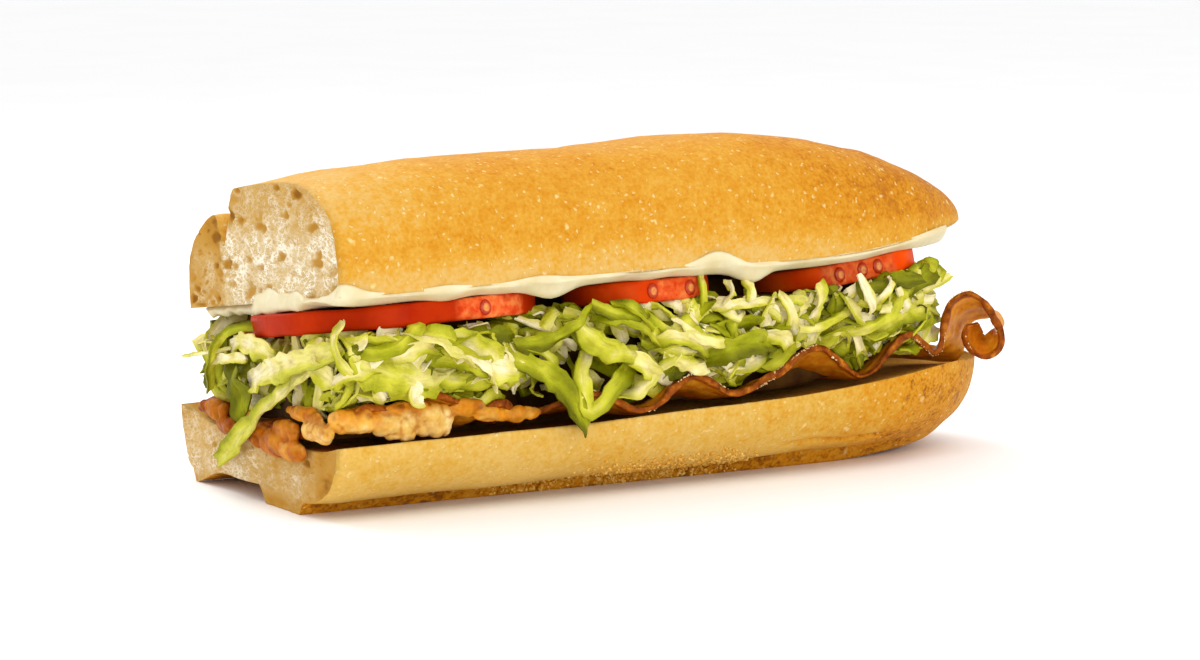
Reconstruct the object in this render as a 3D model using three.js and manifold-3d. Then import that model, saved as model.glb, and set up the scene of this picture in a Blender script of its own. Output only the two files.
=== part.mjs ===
// Half a submarine roll filled with bacon, shredded lettuce, tomato and mayonnaise.
// Millimetres. X runs along the roll from its cut face to its tip, Y across it from front to back, Z up.
// The origin is near the middle of the flat underside of the bottom bun.

import * as THREE from "three";
import { mergeVertices } from "three/addons/utils/BufferGeometryUtils.js";
import Module from "manifold-3d";

const { clamp, degToRad, lerp, smoothstep } = THREE.MathUtils;

// Driving dimensions: the roll
const CUT_X = -90; // the plane where the roll was cut in half
const GAP = 0.3; // clearance between pieces that touch
const TIP_FLAT = 0.4; // the buns end in a small flat just short of their tips
const BUN_STATIONS = 22; // sections along each bun

// Bottom bun
const HEEL_TIP_X = 84.6;
const HEEL_TAPER_X = 25; // the plan starts to narrow here
const HEEL_BLUNTNESS = 2.4; // exponent of the rounded end's plan, 2 is an ellipse
const HEEL_HALF_WIDTH = 36;
const HEEL_Y = 1.5; // its middle line
const HEEL_FOOT_FRONT = 0.58; // where the flat underside ends, as a share of the half width
const HEEL_FOOT_BACK = 0.86;
const HEEL_DISH = 2.6; // how far the filling presses the inner face down
const HEEL_LIFT_X = 60; // the underside curves up from here to the tip
const HEEL_LIFT = 15;
const ARCH_HEIGHT = 3.6; // hollow under the cut end
const ARCH_LENGTH = 45;
const ARCH_FRONT_Y = -2;
const ARCH_BACK_Y = 32;
const HEEL_RIM = [ // x and height of its upper edge
  [-90, 15.9], [-53, 16.1], [-29, 16.4], [-5, 17.4], [20, 18.2], [46, 20.2], [67, 21.6], [86, 20],
];

// Top bun: it leans back, as the sandwich gapes at the front
const CROWN_TIP_X = 79.4;
const CROWN_TAPER_X = 15;
const CROWN_BLUNTNESS = 2.2;
const CROWN_BASE = 43.7; // height of its inner face at x = 0
const CROWN_SLOPE = 0.046;
const CROWN_SAG = 0.0002; // the inner face hangs in a shallow parabola
const CROWN_LIFT_X = 40; // and turns up more from here to the tip
const CROWN_LIFT = 0.0011;
const CROWN_HALF_WIDTH = 34.6;
const CROWN_Y = -2;
const CROWN_TILT = degToRad(6.9);
const CROWN_SQUARENESS = 3.2; // exponent of the domed section, 2 is an ellipse
const CROWN_TOP = [ // x and height above its inner face
  [-90, 24.6], [-73, 26.6], [-8, 28], [25, 26.4], [43, 22.2], [60, 14.8], [72, 7.4], [80, 0.8],
];
const CREASE_Y = 16.5; // the baker's slash that runs along the back of the top
const CREASE_DEPTH = 8;
const CREASE_HALF_WIDTH = 2.6;
const BACK_LOBE_DROP = 3.2; // the strip behind the slash lies lower
const CREASE_END_X = 62;

// Fillings, from the top bun downwards
const MAYO_THICKNESS = 1.3;
const MAYO_INSET = 1.2;
const MAYO_OVERHANG = 0.8; // it stands proud of the cut
const MAYO_STATIONS = 36;
const MAYO_END_X = 67;
const MAYO_DRIPS = [[-88, 1.2, 4], [-40, 3.6, 6], [6, 3.2, 5.5], [62, 1.7, 11]]; // x, depth, half length
const TOMATO_THICKNESS = 4.6;
const TOMATO_ROUNDING = 0.7;
const TOMATO_CLEARANCE = 0.5; // the flat slices stay clear of the curved spread
const TOMATOES = [
  { x: -62.5, y: -3.8, radius: 29, trim: 1.2 },
  { x: -11.1, y: -16.2, radius: 15.3, trim: 1.2 },
  { x: 43.1, y: -10, radius: 18.1, trim: 1.6 },
];
const BACON_THICKNESS = 2;
const BACON_LAY = 1.4; // the rasher's middle above the rim where its ripple is zero
const BACK_RIPPLE = 0.6; // how much of the ripple is left at the back edge
const CURL_HEADING = degToRad(25); // the curl turns towards the front
const CURL_LEAN = degToRad(44); // its axis leans away to the right
const CURL_RADIUS = 7.2;
const CURL_INNER = 0.42; // the tip of the curl is wound tighter
const CURL_CONE = 0.7; // its far end is narrower
const CURL_WIDTH = 14;
const CURL_RISE = 6; // its middle above the foot
const CURL_START = degToRad(222);
const CURL_END = degToRad(-148);
const LETTUCE_START_X = -86;
const LETTUCE_END_X = 60;
const LETTUCE_HALF_WIDTH = 29.5;
const LETTUCE_STATIONS = 18;
const BEHIND_TOMATO = 27; // no slice reaches this far back
const SHRED_THICKNESS = 1.1;
const SHRED_STEPS = 3;
const FRONT_SHREDS = 22;
const BACK_SHREDS = 9;
const CUT_END_SHREDS = 5;
const TIP_SHREDS = 3;

// A smooth function through [x, value] pairs.
function along(pairs) {
  const positions = pairs.map(([x]) => x);
  const values = pairs.map(([, value]) => value);
  const curve = new THREE.CubicInterpolant(positions, values, 1, new Float64Array(1));
  return (x) => curve.evaluate(x)[0];
}

// A repeatable number from 0 to 1 for each whole number.
function draw(index) {
  const wave = Math.sin(index * 12.9898) * 43758.5453;
  return wave - Math.floor(wave);
}

// A half width that holds until the taper and then closes round the tip.
function roundedEnd(x, taperX, tipX, halfWidth, power) {
  const t = clamp((x - taperX) / (tipX - taperX), 0, 1);
  return halfWidth * (1 - t ** power) ** (1 / power);
}

// Stations from start to end that crowd together towards a rounded end.
function stations(start, end, count) {
  return Array.from({ length: count + 1 }, (_, i) => lerp(start, end, Math.sin((i / count) * Math.PI / 2)));
}

function evenly(start, end, count) {
  return Array.from({ length: count + 1 }, (_, i) => lerp(start, end, i / count));
}

// A closed skin over rings of points, with a flat cap at both ends.
// On a thin ribbon, whose ring runs out along one face and back along the other, both faces are split alike.
function loft(rings, ribbon = false) {
  const count = rings[0].length;
  const positions = rings.flat().flatMap((p) => [p.x, p.y, p.z]);
  const index = [];
  for (let i = 0; i + 1 < rings.length; i += 1) {
    for (let j = 0; j < count; j += 1) {
      const [a, b] = [i * count + j, i * count + ((j + 1) % count)];
      const [c, d] = [b + count, a + count];
      if (ribbon && j >= count / 2) index.push(a, b, d, b, c, d);
      else index.push(a, b, c, a, c, d);
    }
  }
  const last = (rings.length - 1) * count;
  for (const [p, q, r] of capOf(rings[0])) index.push(r, q, p);
  for (const [p, q, r] of capOf(rings.at(-1))) index.push(last + p, last + q, last + r);
  const geometry = new THREE.BufferGeometry();
  geometry.setAttribute("position", new THREE.Float32BufferAttribute(positions, 3));
  geometry.setIndex(index);
  if (volumeOf(geometry) < 0) geometry.setIndex(index.reverse());
  geometry.computeVertexNormals();
  return geometry;
}

// Triangles over one ring, worked out in the ring's own plane and turned the ring's way.
function capOf(ring) {
  const normal = new THREE.Vector3();
  ring.forEach((p, i) => {
    const q = ring[(i + 1) % ring.length];
    normal.add(new THREE.Vector3().crossVectors(p, q));
  });
  const turn = new THREE.Quaternion().setFromUnitVectors(normal.normalize(), new THREE.Vector3(0, 0, 1));
  const flat = ring.map((p) => p.clone().applyQuaternion(turn)).map((p) => new THREE.Vector2(p.x, p.y));
  return THREE.ShapeUtils.triangulateShape(flat, []);
}

function volumeOf(geometry) {
  const { index, attributes } = geometry;
  const at = (i) => new THREE.Vector3().fromBufferAttribute(attributes.position, index.array[i]);
  let sum = 0;
  for (let i = 0; i < index.count; i += 3) sum += at(i).dot(at(i + 1).cross(at(i + 2))) / 6;
  return sum;
}

// Bottom bun
const heelRim = along(HEEL_RIM);
const heelHalfWidth = (x) => roundedEnd(x, HEEL_TAPER_X, HEEL_TIP_X, HEEL_HALF_WIDTH, HEEL_BLUNTNESS);

function heelUnderside(x) {
  const t = clamp((x - HEEL_LIFT_X) / (HEEL_TIP_X - HEEL_LIFT_X), 0, 1);
  return HEEL_LIFT * (1 - Math.sqrt(1 - t * t));
}

function heelTop(x, y) {
  const share = clamp((y - HEEL_Y) / Math.max(heelHalfWidth(x), 1), -1, 1);
  return heelRim(x) - HEEL_DISH * (1 - share ** 4);
}

function archUnder(x, y) {
  const inward = 1 - smoothstep(x, CUT_X, CUT_X + ARCH_LENGTH);
  const front = smoothstep(y, ARCH_FRONT_Y, ARCH_FRONT_Y + 4);
  const back = 1 - smoothstep(y, ARCH_BACK_Y - 14, ARCH_BACK_Y);
  return ARCH_HEIGHT * inward * front * back;
}

function heelSection(x) {
  const [half, rim, low] = [heelHalfWidth(x), heelRim(x), heelUnderside(x)];
  const ring = [];
  const put = (y, z) => ring.push(new THREE.Vector3(x, HEEL_Y + y, z));
  for (const y of evenly(half, -half, 10)) put(y, heelTop(x, HEEL_Y + y));
  for (const angle of evenly(0, Math.PI / 2, 6).slice(1)) {
    const foot = half * HEEL_FOOT_FRONT;
    put(-foot - (half - foot) * Math.cos(angle), rim - (rim - low) * Math.sin(angle));
  }
  for (const y of evenly(-half * HEEL_FOOT_FRONT, half * HEEL_FOOT_BACK, 12).slice(1)) {
    put(y, low + archUnder(x, HEEL_Y + y));
  }
  for (const angle of evenly(Math.PI / 2, 0, 6).slice(1, -1)) {
    const foot = half * HEEL_FOOT_BACK;
    put(foot + (half - foot) * Math.cos(angle), rim - (rim - low) * Math.sin(angle));
  }
  return ring;
}

const heelEnd = HEEL_TIP_X - TIP_FLAT;
const bottomBun = loft(stations(CUT_X, heelEnd, BUN_STATIONS).map(heelSection));

// Top bun
const crownLift = (x) => CROWN_LIFT * Math.max(x - CROWN_LIFT_X, 0) ** 2;
const crownBase = (x) => CROWN_BASE + CROWN_SLOPE * x + CROWN_SAG * x * x + crownLift(x);
const crownTop = along(CROWN_TOP);
const crownHalfWidth = (x) => roundedEnd(x, CROWN_TAPER_X, CROWN_TIP_X, CROWN_HALF_WIDTH, CROWN_BLUNTNESS);

// A point given across and above the top bun's inner face.
function inCrown(x, across, above) {
  const y = CROWN_Y + across * Math.cos(CROWN_TILT) + above * Math.sin(CROWN_TILT);
  const z = crownBase(x) - across * Math.sin(CROWN_TILT) + above * Math.cos(CROWN_TILT);
  return new THREE.Vector3(x, y, z);
}

function crease(x, across) {
  const fade = 1 - smoothstep(x, CREASE_END_X - 35, CREASE_END_X);
  const slash = CREASE_DEPTH * Math.exp(-(((across - CREASE_Y) / CREASE_HALF_WIDTH) ** 2));
  const lobe = BACK_LOBE_DROP * smoothstep(across, CREASE_Y - 6, CREASE_Y);
  return fade * (slash + lobe);
}

function crownSection(x) {
  const [half, top] = [crownHalfWidth(x), crownTop(x)];
  const ring = [];
  for (const angle of evenly(0, Math.PI, 30)) {
    const [c, s] = [Math.cos(angle), Math.max(Math.sin(angle), 0)];
    const across = half * Math.sign(c) * Math.abs(c) ** (2 / CROWN_SQUARENESS);
    const above = top * s ** (2 / CROWN_SQUARENESS);
    const sunk = above - crease(x, across) * smoothstep(above, 0.35 * top, 0.7 * top);
    ring.push(inCrown(x, across, sunk));
  }
  for (const across of evenly(-half, half, 8).slice(1, -1)) ring.push(inCrown(x, across, 0));
  return ring;
}

const crownEnd = CROWN_TIP_X - TIP_FLAT;
const topBun = loft(stations(CUT_X, crownEnd, BUN_STATIONS).map(crownSection));

// Mayonnaise: a spread under the top bun that sags into drips along the front
function dripAt(x) {
  const drips = MAYO_DRIPS.map(([at, depth, reach]) => depth * Math.exp(-(((x - at) / reach) ** 2)));
  return drips.reduce((sum, depth) => sum + depth);
}

function mayoSection(x) {
  const half = Math.max(crownHalfWidth(x) - MAYO_INSET, 3);
  const drip = dripAt(x);
  const lip = -half - 0.5 - 0.4 * drip;
  const ring = evenly(half, -half, 8).map((across) => inCrown(x, across, -GAP));
  ring.push(inCrown(x, lip, -GAP - 0.45 * (MAYO_THICKNESS + drip)));
  ring.push(inCrown(x, lip + 0.6, -GAP - 0.85 * (MAYO_THICKNESS + drip)));
  ring.push(inCrown(x, lip + 2.2, -GAP - MAYO_THICKNESS - drip));
  ring.push(inCrown(x, lip + 5, -GAP - MAYO_THICKNESS - 0.3 * drip));
  for (const across of evenly(lip + 9, half, 6)) ring.push(inCrown(x, across, -GAP - MAYO_THICKNESS));
  return ring;
}

const mayonnaise = loft(evenly(CUT_X - MAYO_OVERHANG, MAYO_END_X, MAYO_STATIONS).map(mayoSection));

// Tomato slices: discs with a short straight edge in front, laid along the top bun's inner face
const TOMATO_DROP = GAP + MAYO_THICKNESS + TOMATO_CLEARANCE + TOMATO_THICKNESS;

function tomatoSlice({ radius, trim }) {
  const half = Math.acos(1 - trim / radius);
  const outline = new THREE.Shape();
  outline.absarc(0, 0, radius - TOMATO_ROUNDING, -Math.PI / 2 + half, 1.5 * Math.PI - half, false);
  outline.closePath();
  const geometry = new THREE.ExtrudeGeometry(outline, {
    depth: TOMATO_THICKNESS - 2 * TOMATO_ROUNDING,
    curveSegments: 26,
    bevelThickness: TOMATO_ROUNDING,
    bevelSize: TOMATO_ROUNDING,
    bevelSegments: 1,
  });
  geometry.translate(0, 0, TOMATO_ROUNDING);
  return geometry;
}

function placeTomato(mesh, { x, y }) {
  mesh.position.copy(inCrown(x, y, -TOMATO_DROP));
  mesh.rotation.set(-CROWN_TILT, -Math.atan(crownBase(x + 0.5) - crownBase(x - 0.5)), 0);
}

// Bacon: rippled rashers that lie on the bottom bun
const RASHERS = {
  bacon_front_right: {
    front: along([[-45, -29], [-30, -32.6], [15, -32.6], [45, -29.5], [64, -24.5]]), // the front edge in plan
    width: along([[-42, 26], [30, 26], [63.5, 15]]),
    ripples: [
      [-42, 2], [-27, 4.6], [-19, 0.2], [-4, 5.6], [4.5, 1.2],
      [16, 4], [27.5, 8.4], [40.5, 0], [54.5, 7], [63.5, 0.6],
    ],
    curl: true,
  },
  bacon_front_left: {
    front: along([[-89.5, -30], [-60, -32.4], [-46, -32]]),
    width: along([[-89.5, 34], [-46, 30]]),
    ripples: [[-89.5, 0], [-83, 4.2], [-75, 3], [-67, 5.6], [-60.5, 6.6], [-55, 3], [-50, 4.8], [-46, 1.4]],
  },
  bacon_back: {
    front: along([[-89, 7], [-40, 5], [30, 0], [76, -4]]),
    width: along([[-89, 23], [76, 20]]),
    ripples: [
      [-89, 1], [-82, 5], [-72, 1], [-58, 4], [-45, 1], [-30, 4.6], [-14, 1],
      [2, 5], [18, 1], [36, 5], [52, 0], [66, 4], [76, 1],
    ],
  },
};
for (const plan of Object.values(RASHERS)) {
  plan.start = plan.ripples[0][0];
  plan.end = plan.ripples.at(-1)[0];
  plan.ripple = along(plan.ripples); // height of the front edge above the bun's rim
}

// The middle of a rasher's thickness: ripples are strongest at its front edge and sag into the dished bun.
function rasherMiddle(plan, x, across) {
  const y = plan.front(x) + across * plan.width(x);
  const sag = 0.8 * (heelRim(x) - heelTop(x, y));
  const z = heelRim(x) + BACON_LAY + plan.ripple(x) * lerp(1, BACK_RIPPLE, across) - sag;
  return new THREE.Vector3(x, y, z);
}

// Stations along a rasher: a point for a share of its width, and the direction its thickness takes there.
function rasherStations(plan, steps) {
  return evenly(plan.start, plan.end, steps).map((x) => {
    const slope = (plan.ripple(x + 0.2) - plan.ripple(x - 0.2)) / 0.4;
    const normal = new THREE.Vector3(-slope, 0, 1).normalize();
    return { point: (across) => rasherMiddle(plan, x, across), normal };
  });
}

// The tip of the front rasher rolls over into an open cone that leans away to the right.
function curlStations(plan, steps) {
  const foot = rasherMiddle(plan, plan.end, 0);
  const ahead = new THREE.Vector3(Math.cos(CURL_HEADING), -Math.sin(CURL_HEADING), 0);
  return evenly(0, 1, steps).slice(1).map((share) => {
    const angle = lerp(CURL_START, CURL_END, share);
    const radius = CURL_RADIUS * lerp(1, CURL_INNER, smoothstep(share, 0.66, 1));
    const lean = CURL_LEAN * smoothstep(share, 0, 0.35);
    const axis = new THREE.Vector3(Math.sin(lean), Math.cos(lean), 0);
    const width = lerp(plan.width(plan.end), CURL_WIDTH, share);
    const outward = ahead.clone().multiplyScalar(Math.cos(angle)).setZ(Math.sin(angle));
    const point = (across) => foot.clone()
      .addScaledVector(ahead, CURL_RADIUS + 0.6)
      .addScaledVector(axis, across * width)
      .addScaledVector(outward, radius * lerp(1, CURL_CONE, across))
      .add(new THREE.Vector3(0, 0, CURL_RISE));
    return { point, normal: outward.clone().negate() };
  });
}

function rasher(plan) {
  const line = rasherStations(plan, plan.curl ? 34 : 30);
  if (plan.curl) line.push(...curlStations(plan, 16));
  const shares = [0, 1 / 3, 2 / 3, 1];
  const half = BACON_THICKNESS / 2;
  const face = ({ point, normal }, depth) =>
    shares.map((across) => point(across).addScaledVector(normal, depth));
  return loft(line.map((at) => [...face(at, half), ...face(at, -half).reverse()]), true);
}

// Lettuce: a loose core between bacon and tomato, with shreds fused to its sides
const lettuceHalf = (x) => Math.min(LETTUCE_HALF_WIDTH, heelHalfWidth(x) - 5);

// The lowest height that is clear of the bacon around a point.
function lettuceFloor(x, y) {
  let floor = heelTop(x, y) + 1;
  for (const plan of Object.values(RASHERS)) {
    for (const near of [-3, 0, 3].map((step) => x + step)) {
      const across = (y - plan.front(near)) / plan.width(near);
      const margin = 8 / plan.width(near);
      const inReach = near > plan.start - 2 && near < plan.end + 2;
      if (!inReach || across < -margin || across > 1 + margin) continue;
      floor = Math.max(floor, rasherMiddle(plan, near, clamp(across, 0, 1)).z + BACON_THICKNESS);
    }
  }
  return floor;
}

// The top of the core lies under the tomato, and behind the slices it reaches up to the mayonnaise.
function lettuceCeiling(x, across) {
  const drop = across > BEHIND_TOMATO ? 3 * GAP + MAYO_THICKNESS : TOMATO_DROP + 3 * GAP;
  return inCrown(x, across, -drop);
}

function lettuceSection(x) {
  const half = lettuceHalf(x);
  const ring = [];
  for (const across of [half, BEHIND_TOMATO + 1, BEHIND_TOMATO - 1, ...evenly(16, -half, 5)]) {
    ring.push(lettuceCeiling(x, Math.min(across, half)));
  }
  const front = lettuceFloor(x, -half);
  const back = lettuceFloor(x, half);
  ring.push(new THREE.Vector3(x, -half - 1.5, (front + lettuceCeiling(x, -half).z) / 2));
  for (const y of evenly(-half, half, 8)) ring.push(new THREE.Vector3(x, y, lettuceFloor(x, y)));
  ring.push(new THREE.Vector3(x, half + 1.5, (back + lettuceCeiling(x, half).z) / 2));
  return ring;
}

// A shred: a thin strip along a curve, its width set across the given direction.
function shred(points, width, across) {
  const curve = new THREE.CatmullRomCurve3(points);
  const rings = evenly(0, 1, SHRED_STEPS).map((share) => {
    const tangent = curve.getTangentAt(share);
    const normal = new THREE.Vector3().crossVectors(tangent, across).normalize();
    const taper = 1 - 0.5 * Math.abs(2 * share - 1) ** 3;
    const side = new THREE.Vector3().crossVectors(normal, tangent).multiplyScalar((taper * width) / 2);
    normal.multiplyScalar(SHRED_THICKNESS / 2);
    const corner = (a, b) => curve.getPointAt(share).addScaledVector(side, a).addScaledVector(normal, b);
    return [corner(-1, 1), corner(1, 1), corner(1, -1), corner(-1, -1)];
  });
  return loft(rings, true);
}

// Shreds lie along the long sides of the heap: front is -1 and back is 1.
function sideShred(index, count, front) {
  const pick = (k) => draw(100 * (front + 2) + 7 * index + k);
  const x = lerp(LETTUCE_START_X + 8, LETTUCE_END_X - 8, (index + 0.5) / count) + 4 * (pick(1) - 0.5);
  const reach = 8 + 8 * pick(2);
  const rise = 10 * (pick(3) - 0.5);
  const at = (step, share, out) => {
    const half = lettuceHalf(x + step) * front;
    const low = lettuceFloor(x + step, half) + 2.5;
    const high = lettuceCeiling(x + step, half).z - 2.5;
    const z = clamp(lerp(low, high, pick(4)) + share * rise, low, high);
    return new THREE.Vector3(x + step, half + out * front, z);
  };
  const points = [
    at(-reach, -1, 0),
    at(-reach / 3, -0.4, 2 + 3 * pick(5)),
    at(reach / 2, 0.4, 2 + 3 * pick(6)),
    at(reach, 1, 0),
  ];
  return shred(points, 3.4 + 3 * pick(7), new THREE.Vector3(0.4 * (pick(8) - 0.5), -0.4 * front, 1));
}

// Shreds that stick out at an end of the heap: the cut end is -1 and the tip 1.
function endShred(index, count, end) {
  const pick = (k) => draw(900 + 60 * end + 7 * index + k);
  const x = end < 0 ? LETTUCE_START_X + 1.5 : LETTUCE_END_X - 1.5;
  const half = lettuceHalf(x) - 3;
  const y = lerp(-half, half, (index + 0.5) / count);
  const slant = 14 * (pick(1) - 0.5);
  const low = lettuceFloor(x, y) + 2.5;
  const high = lettuceCeiling(x, y).z - 2.5;
  const at = (out, sideways, share) =>
    new THREE.Vector3(x + end * out, y + sideways * slant, clamp(lerp(low, high, share), low, high));
  const points = [
    at(0, -0.5, pick(2)),
    at(2 + 2 * pick(3), 0, pick(4)),
    at(2.5 + 2 * pick(5), 0.4, pick(6)),
    at(0, 0.9, pick(7)),
  ];
  return shred(points, 3.4 + 2.5 * pick(8), new THREE.Vector3(-0.5 * end, 0, 1));
}

// Shreds that hang clear of the heap, each by its points, its width and the direction of that width.
const HANGING_SHREDS = [
  [[[-52, -31, 35], [-44, -35.6, 29], [-37, -36.9, 20.5], [-34, -37.3, 15.5]], 5.2, [1, 0, 0.4]],
  [[[-83, -22, 31], [-91.5, -18, 27], [-92.4, 0, 16.6], [-92.2, 14, 7.4]], 4.6, [0.2, 1, 1]],
  [[[-83, 10, 31], [-90.4, 9.4, 27.6], [-91.3, 4.6, 21], [-91.6, 2, 16.5]], 6.6, [0, 1, 0.2]],
  [[[-84, 3, 33], [-90.8, 12, 34.2], [-91.2, 18.5, 30], [-84, 22, 27]], 3.6, [-1, 0, 1]],
  [[[54, -24, 37], [60, -27, 38.2], [64.5, -28.4, 39], [67.5, -29, 41]], 3, [0, 0.4, 1]],
  [[[44, -27, 38], [51, -31.4, 39.4], [56, -32.2, 40.2], [59, -31.6, 40.6]], 4, [0, 0.5, 1]],
];

const group = new THREE.Group();

function addPiece(name, geometry, color, roughness) {
  const material = new THREE.MeshStandardMaterial({ color, roughness, metalness: 0 });
  const mesh = new THREE.Mesh(geometry, material);
  mesh.name = name;
  group.add(mesh);
  return mesh;
}

addPiece("bottom_bun", bottomBun, 0xe0ab55, 0.8);
for (const [name, plan] of Object.entries(RASHERS)) addPiece(name, rasher(plan), 0x8f3c12, 0.45);
TOMATOES.forEach((plan, i) => {
  const slice = addPiece(`tomato_slice_${i + 1}`, tomatoSlice(plan), 0xc22a0c, 0.3);
  placeTomato(slice, plan);
});
addPiece("mayonnaise", mayonnaise, 0xf6f0d6, 0.35);
addPiece("top_bun", topBun, 0xdb9230, 0.75);

// Solids for joining the shreds to the core
const wasm = await Module();
wasm.setup();

function toSolid(geometry, matrix = new THREE.Matrix4()) {
  const bare = new THREE.BufferGeometry();
  bare.setAttribute("position", geometry.getAttribute("position").clone());
  bare.setIndex(geometry.index);
  const merged = mergeVertices(bare.applyMatrix4(matrix), 1e-4);
  return new wasm.Manifold(new wasm.Mesh({
    numProp: 3,
    vertProperties: merged.attributes.position.array,
    triVerts: new Uint32Array(merged.index.array),
  }));
}

function toGeometry(solid) {
  const { vertProperties, triVerts } = solid.getMesh();
  const geometry = new THREE.BufferGeometry();
  geometry.setAttribute("position", new THREE.Float32BufferAttribute(vertProperties, 3));
  geometry.setIndex(Array.from(triVerts));
  geometry.computeVertexNormals();
  return geometry;
}

// The heap: every shred that stays clear of the other pieces joins the core.
function lettuceHeap(neighbours) {
  const count = (n, make) => Array.from({ length: n }, (_, i) => make(i, n));
  const shreds = [
    ...HANGING_SHREDS.map(([points, width, across]) =>
      shred(points.map((p) => new THREE.Vector3(...p)), width, new THREE.Vector3(...across))),
    ...count(FRONT_SHREDS, (i, n) => sideShred(i, n, -1)),
    ...count(BACK_SHREDS, (i, n) => sideShred(i, n, 1)),
    ...count(CUT_END_SHREDS, (i, n) => endShred(i, n, -1)),
    ...count(TIP_SHREDS, (i, n) => endShred(i, n, 1)),
  ].map((geometry) => toSolid(geometry));
  const clear = shreds.filter((piece) => neighbours.every((other) => piece.intersect(other).isEmpty()));
  const core = toSolid(loft(evenly(LETTUCE_START_X, LETTUCE_END_X, LETTUCE_STATIONS).map(lettuceSection)));
  const joined = clear.reduce((heap, piece) => heap.add(piece), core);
  const bodies = joined.decompose();
  return bodies.reduce((largest, body) => (body.volume() > largest.volume() ? body : largest));
}

group.updateMatrixWorld(true);
const neighbours = group.children.map((mesh) => toSolid(mesh.geometry, mesh.matrixWorld));
addPiece("lettuce", toGeometry(lettuceHeap(neighbours)), 0xb9cf63, 0.5);

export default group;
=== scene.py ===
# %% [markdown]
# # Half a submarine sandwich
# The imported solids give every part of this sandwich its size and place. This lesson keeps those sizes and
# dresses them as food: bread with a speckled crust and an open crumb, crisp bacon, shredded lettuce, wet
# tomato and mayonnaise. Lengths are written in millimetres, and turned into metres where a mesh takes them.

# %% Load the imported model
import itertools
import math
import bmesh
import bpy
import numpy as np
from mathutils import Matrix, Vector


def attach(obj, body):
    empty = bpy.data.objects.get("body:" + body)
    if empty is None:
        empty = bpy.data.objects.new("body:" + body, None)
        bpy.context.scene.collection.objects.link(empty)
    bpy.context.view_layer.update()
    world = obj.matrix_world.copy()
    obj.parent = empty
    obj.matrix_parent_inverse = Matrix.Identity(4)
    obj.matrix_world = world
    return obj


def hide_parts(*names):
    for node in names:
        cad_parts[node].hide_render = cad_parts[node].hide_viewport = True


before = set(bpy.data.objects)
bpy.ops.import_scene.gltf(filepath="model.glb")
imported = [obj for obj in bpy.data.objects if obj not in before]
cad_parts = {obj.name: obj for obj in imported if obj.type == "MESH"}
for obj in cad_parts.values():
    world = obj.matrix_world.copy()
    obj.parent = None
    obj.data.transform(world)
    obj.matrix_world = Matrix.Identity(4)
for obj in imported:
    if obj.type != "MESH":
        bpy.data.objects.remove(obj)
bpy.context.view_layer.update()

MM = 0.001
print("solids:", sorted(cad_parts))

# %% [markdown]
# ## The camera
# A long lens keeps the roll's far end nearly as large as its cut end, as a food photographer would. The
# camera stands to the left of the front, a little above the sandwich, so the cut face and the open side
# both show. Placing it by an angle round the sandwich and a height angle is easier to adjust than typing a
# location.

# %% Camera
VIEW_TURN = math.radians(31)
VIEW_RISE = math.radians(7.5)
VIEW_DISTANCE = 900
VIEW_CENTRE = Vector((-8, 0, 30.5))
LENS = 125

towards_camera = Vector((-math.sin(VIEW_TURN) * math.cos(VIEW_RISE),
                         -math.cos(VIEW_TURN) * math.cos(VIEW_RISE),
                         math.sin(VIEW_RISE)))
bpy.ops.object.select_all(action="DESELECT")
bpy.ops.object.camera_add(location=(VIEW_CENTRE + towards_camera * VIEW_DISTANCE) * MM,
                          rotation=towards_camera.to_track_quat("Z", "Y").to_euler())
camera = bpy.context.object
camera.name = "camera"
camera.data.lens = LENS
camera.data.sensor_width = 36
bpy.context.scene.camera = camera
print("camera at", [round(c, 3) for c in camera.location])

# %% [markdown]
# ## Floor and light
# Food on white needs light from all round, so that the shadows stay soft, and a few lamps that show how
# round it is. The world lights everything evenly. A broad lamp hangs over the front, a low one in front
# fills the cut face and the filling, and one behind brightens the top. Glowing panels could do the same, but
# area lamps give less noise. The floor is a large white sheet, which is not attached to the model.

# %% Floor and light
SKY_STRENGTH = 1.0
LAMPS = {  # place in mm, width in mm, watts
    "overhead_lamp": ((60, -340, 560), 480, 1.2),
    "front_lamp": ((-300, -900, 190), 420, 2),
    "back_lamp": ((-160, 420, 520), 420, 2.2),
}

scene = bpy.context.scene
scene.view_settings.view_transform = "Standard"
scene.world = bpy.data.worlds.new("studio")
scene.world.use_nodes = True
sky = scene.world.node_tree.nodes["Background"]
sky.inputs["Color"].default_value = (1, 1, 1, 1)
sky.inputs["Strength"].default_value = SKY_STRENGTH

for lamp_name, (place, width, watts) in LAMPS.items():
    aim = (Vector(place) - VIEW_CENTRE).to_track_quat("Z", "Y").to_euler()
    bpy.ops.object.light_add(type="AREA", location=Vector(place) * MM, rotation=aim)
    lamp = bpy.context.object
    lamp.name = lamp_name
    lamp.data.size = width * MM
    lamp.data.energy = watts
    print(lamp_name, watts, "W")

bpy.ops.mesh.primitive_plane_add(size=6)
floor = bpy.context.object
floor.name = "floor"

# %% [markdown]
# ## Building a finish from nodes
# Every finish below is a Principled shader with a few texture nodes in front of its colour and bump. Adding
# nodes by hand is slow to read, so small helpers do it: they add a node and set its sockets, make a colour
# ramp, mix two colours, give noise whose lumps are measured in millimetres, read a value that the mesh
# keeps, and turn a height into bump. Colours are written as on a screen and turned into linear light.

# %% Helpers for finishes
def tint(red, green, blue):
    """A screen colour, from 0 to 255, as linear light."""
    screen = np.array([red, green, blue]) / 255
    linear = np.where(screen > 0.04045, ((screen + 0.055) / 1.055) ** 2.4, screen / 12.92)
    return (*linear.tolist(), 1)


def start_finish(name, **sockets):
    """A new material's node tree and its Principled shader, with constant values on its sockets."""
    material = bpy.data.materials.new(name)
    material.use_nodes = True
    shader = material.node_tree.nodes["Principled BSDF"]
    for socket, value in sockets.items():
        shader.inputs[socket.replace("_", " ")].default_value = value
    return material, material.node_tree, shader


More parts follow.
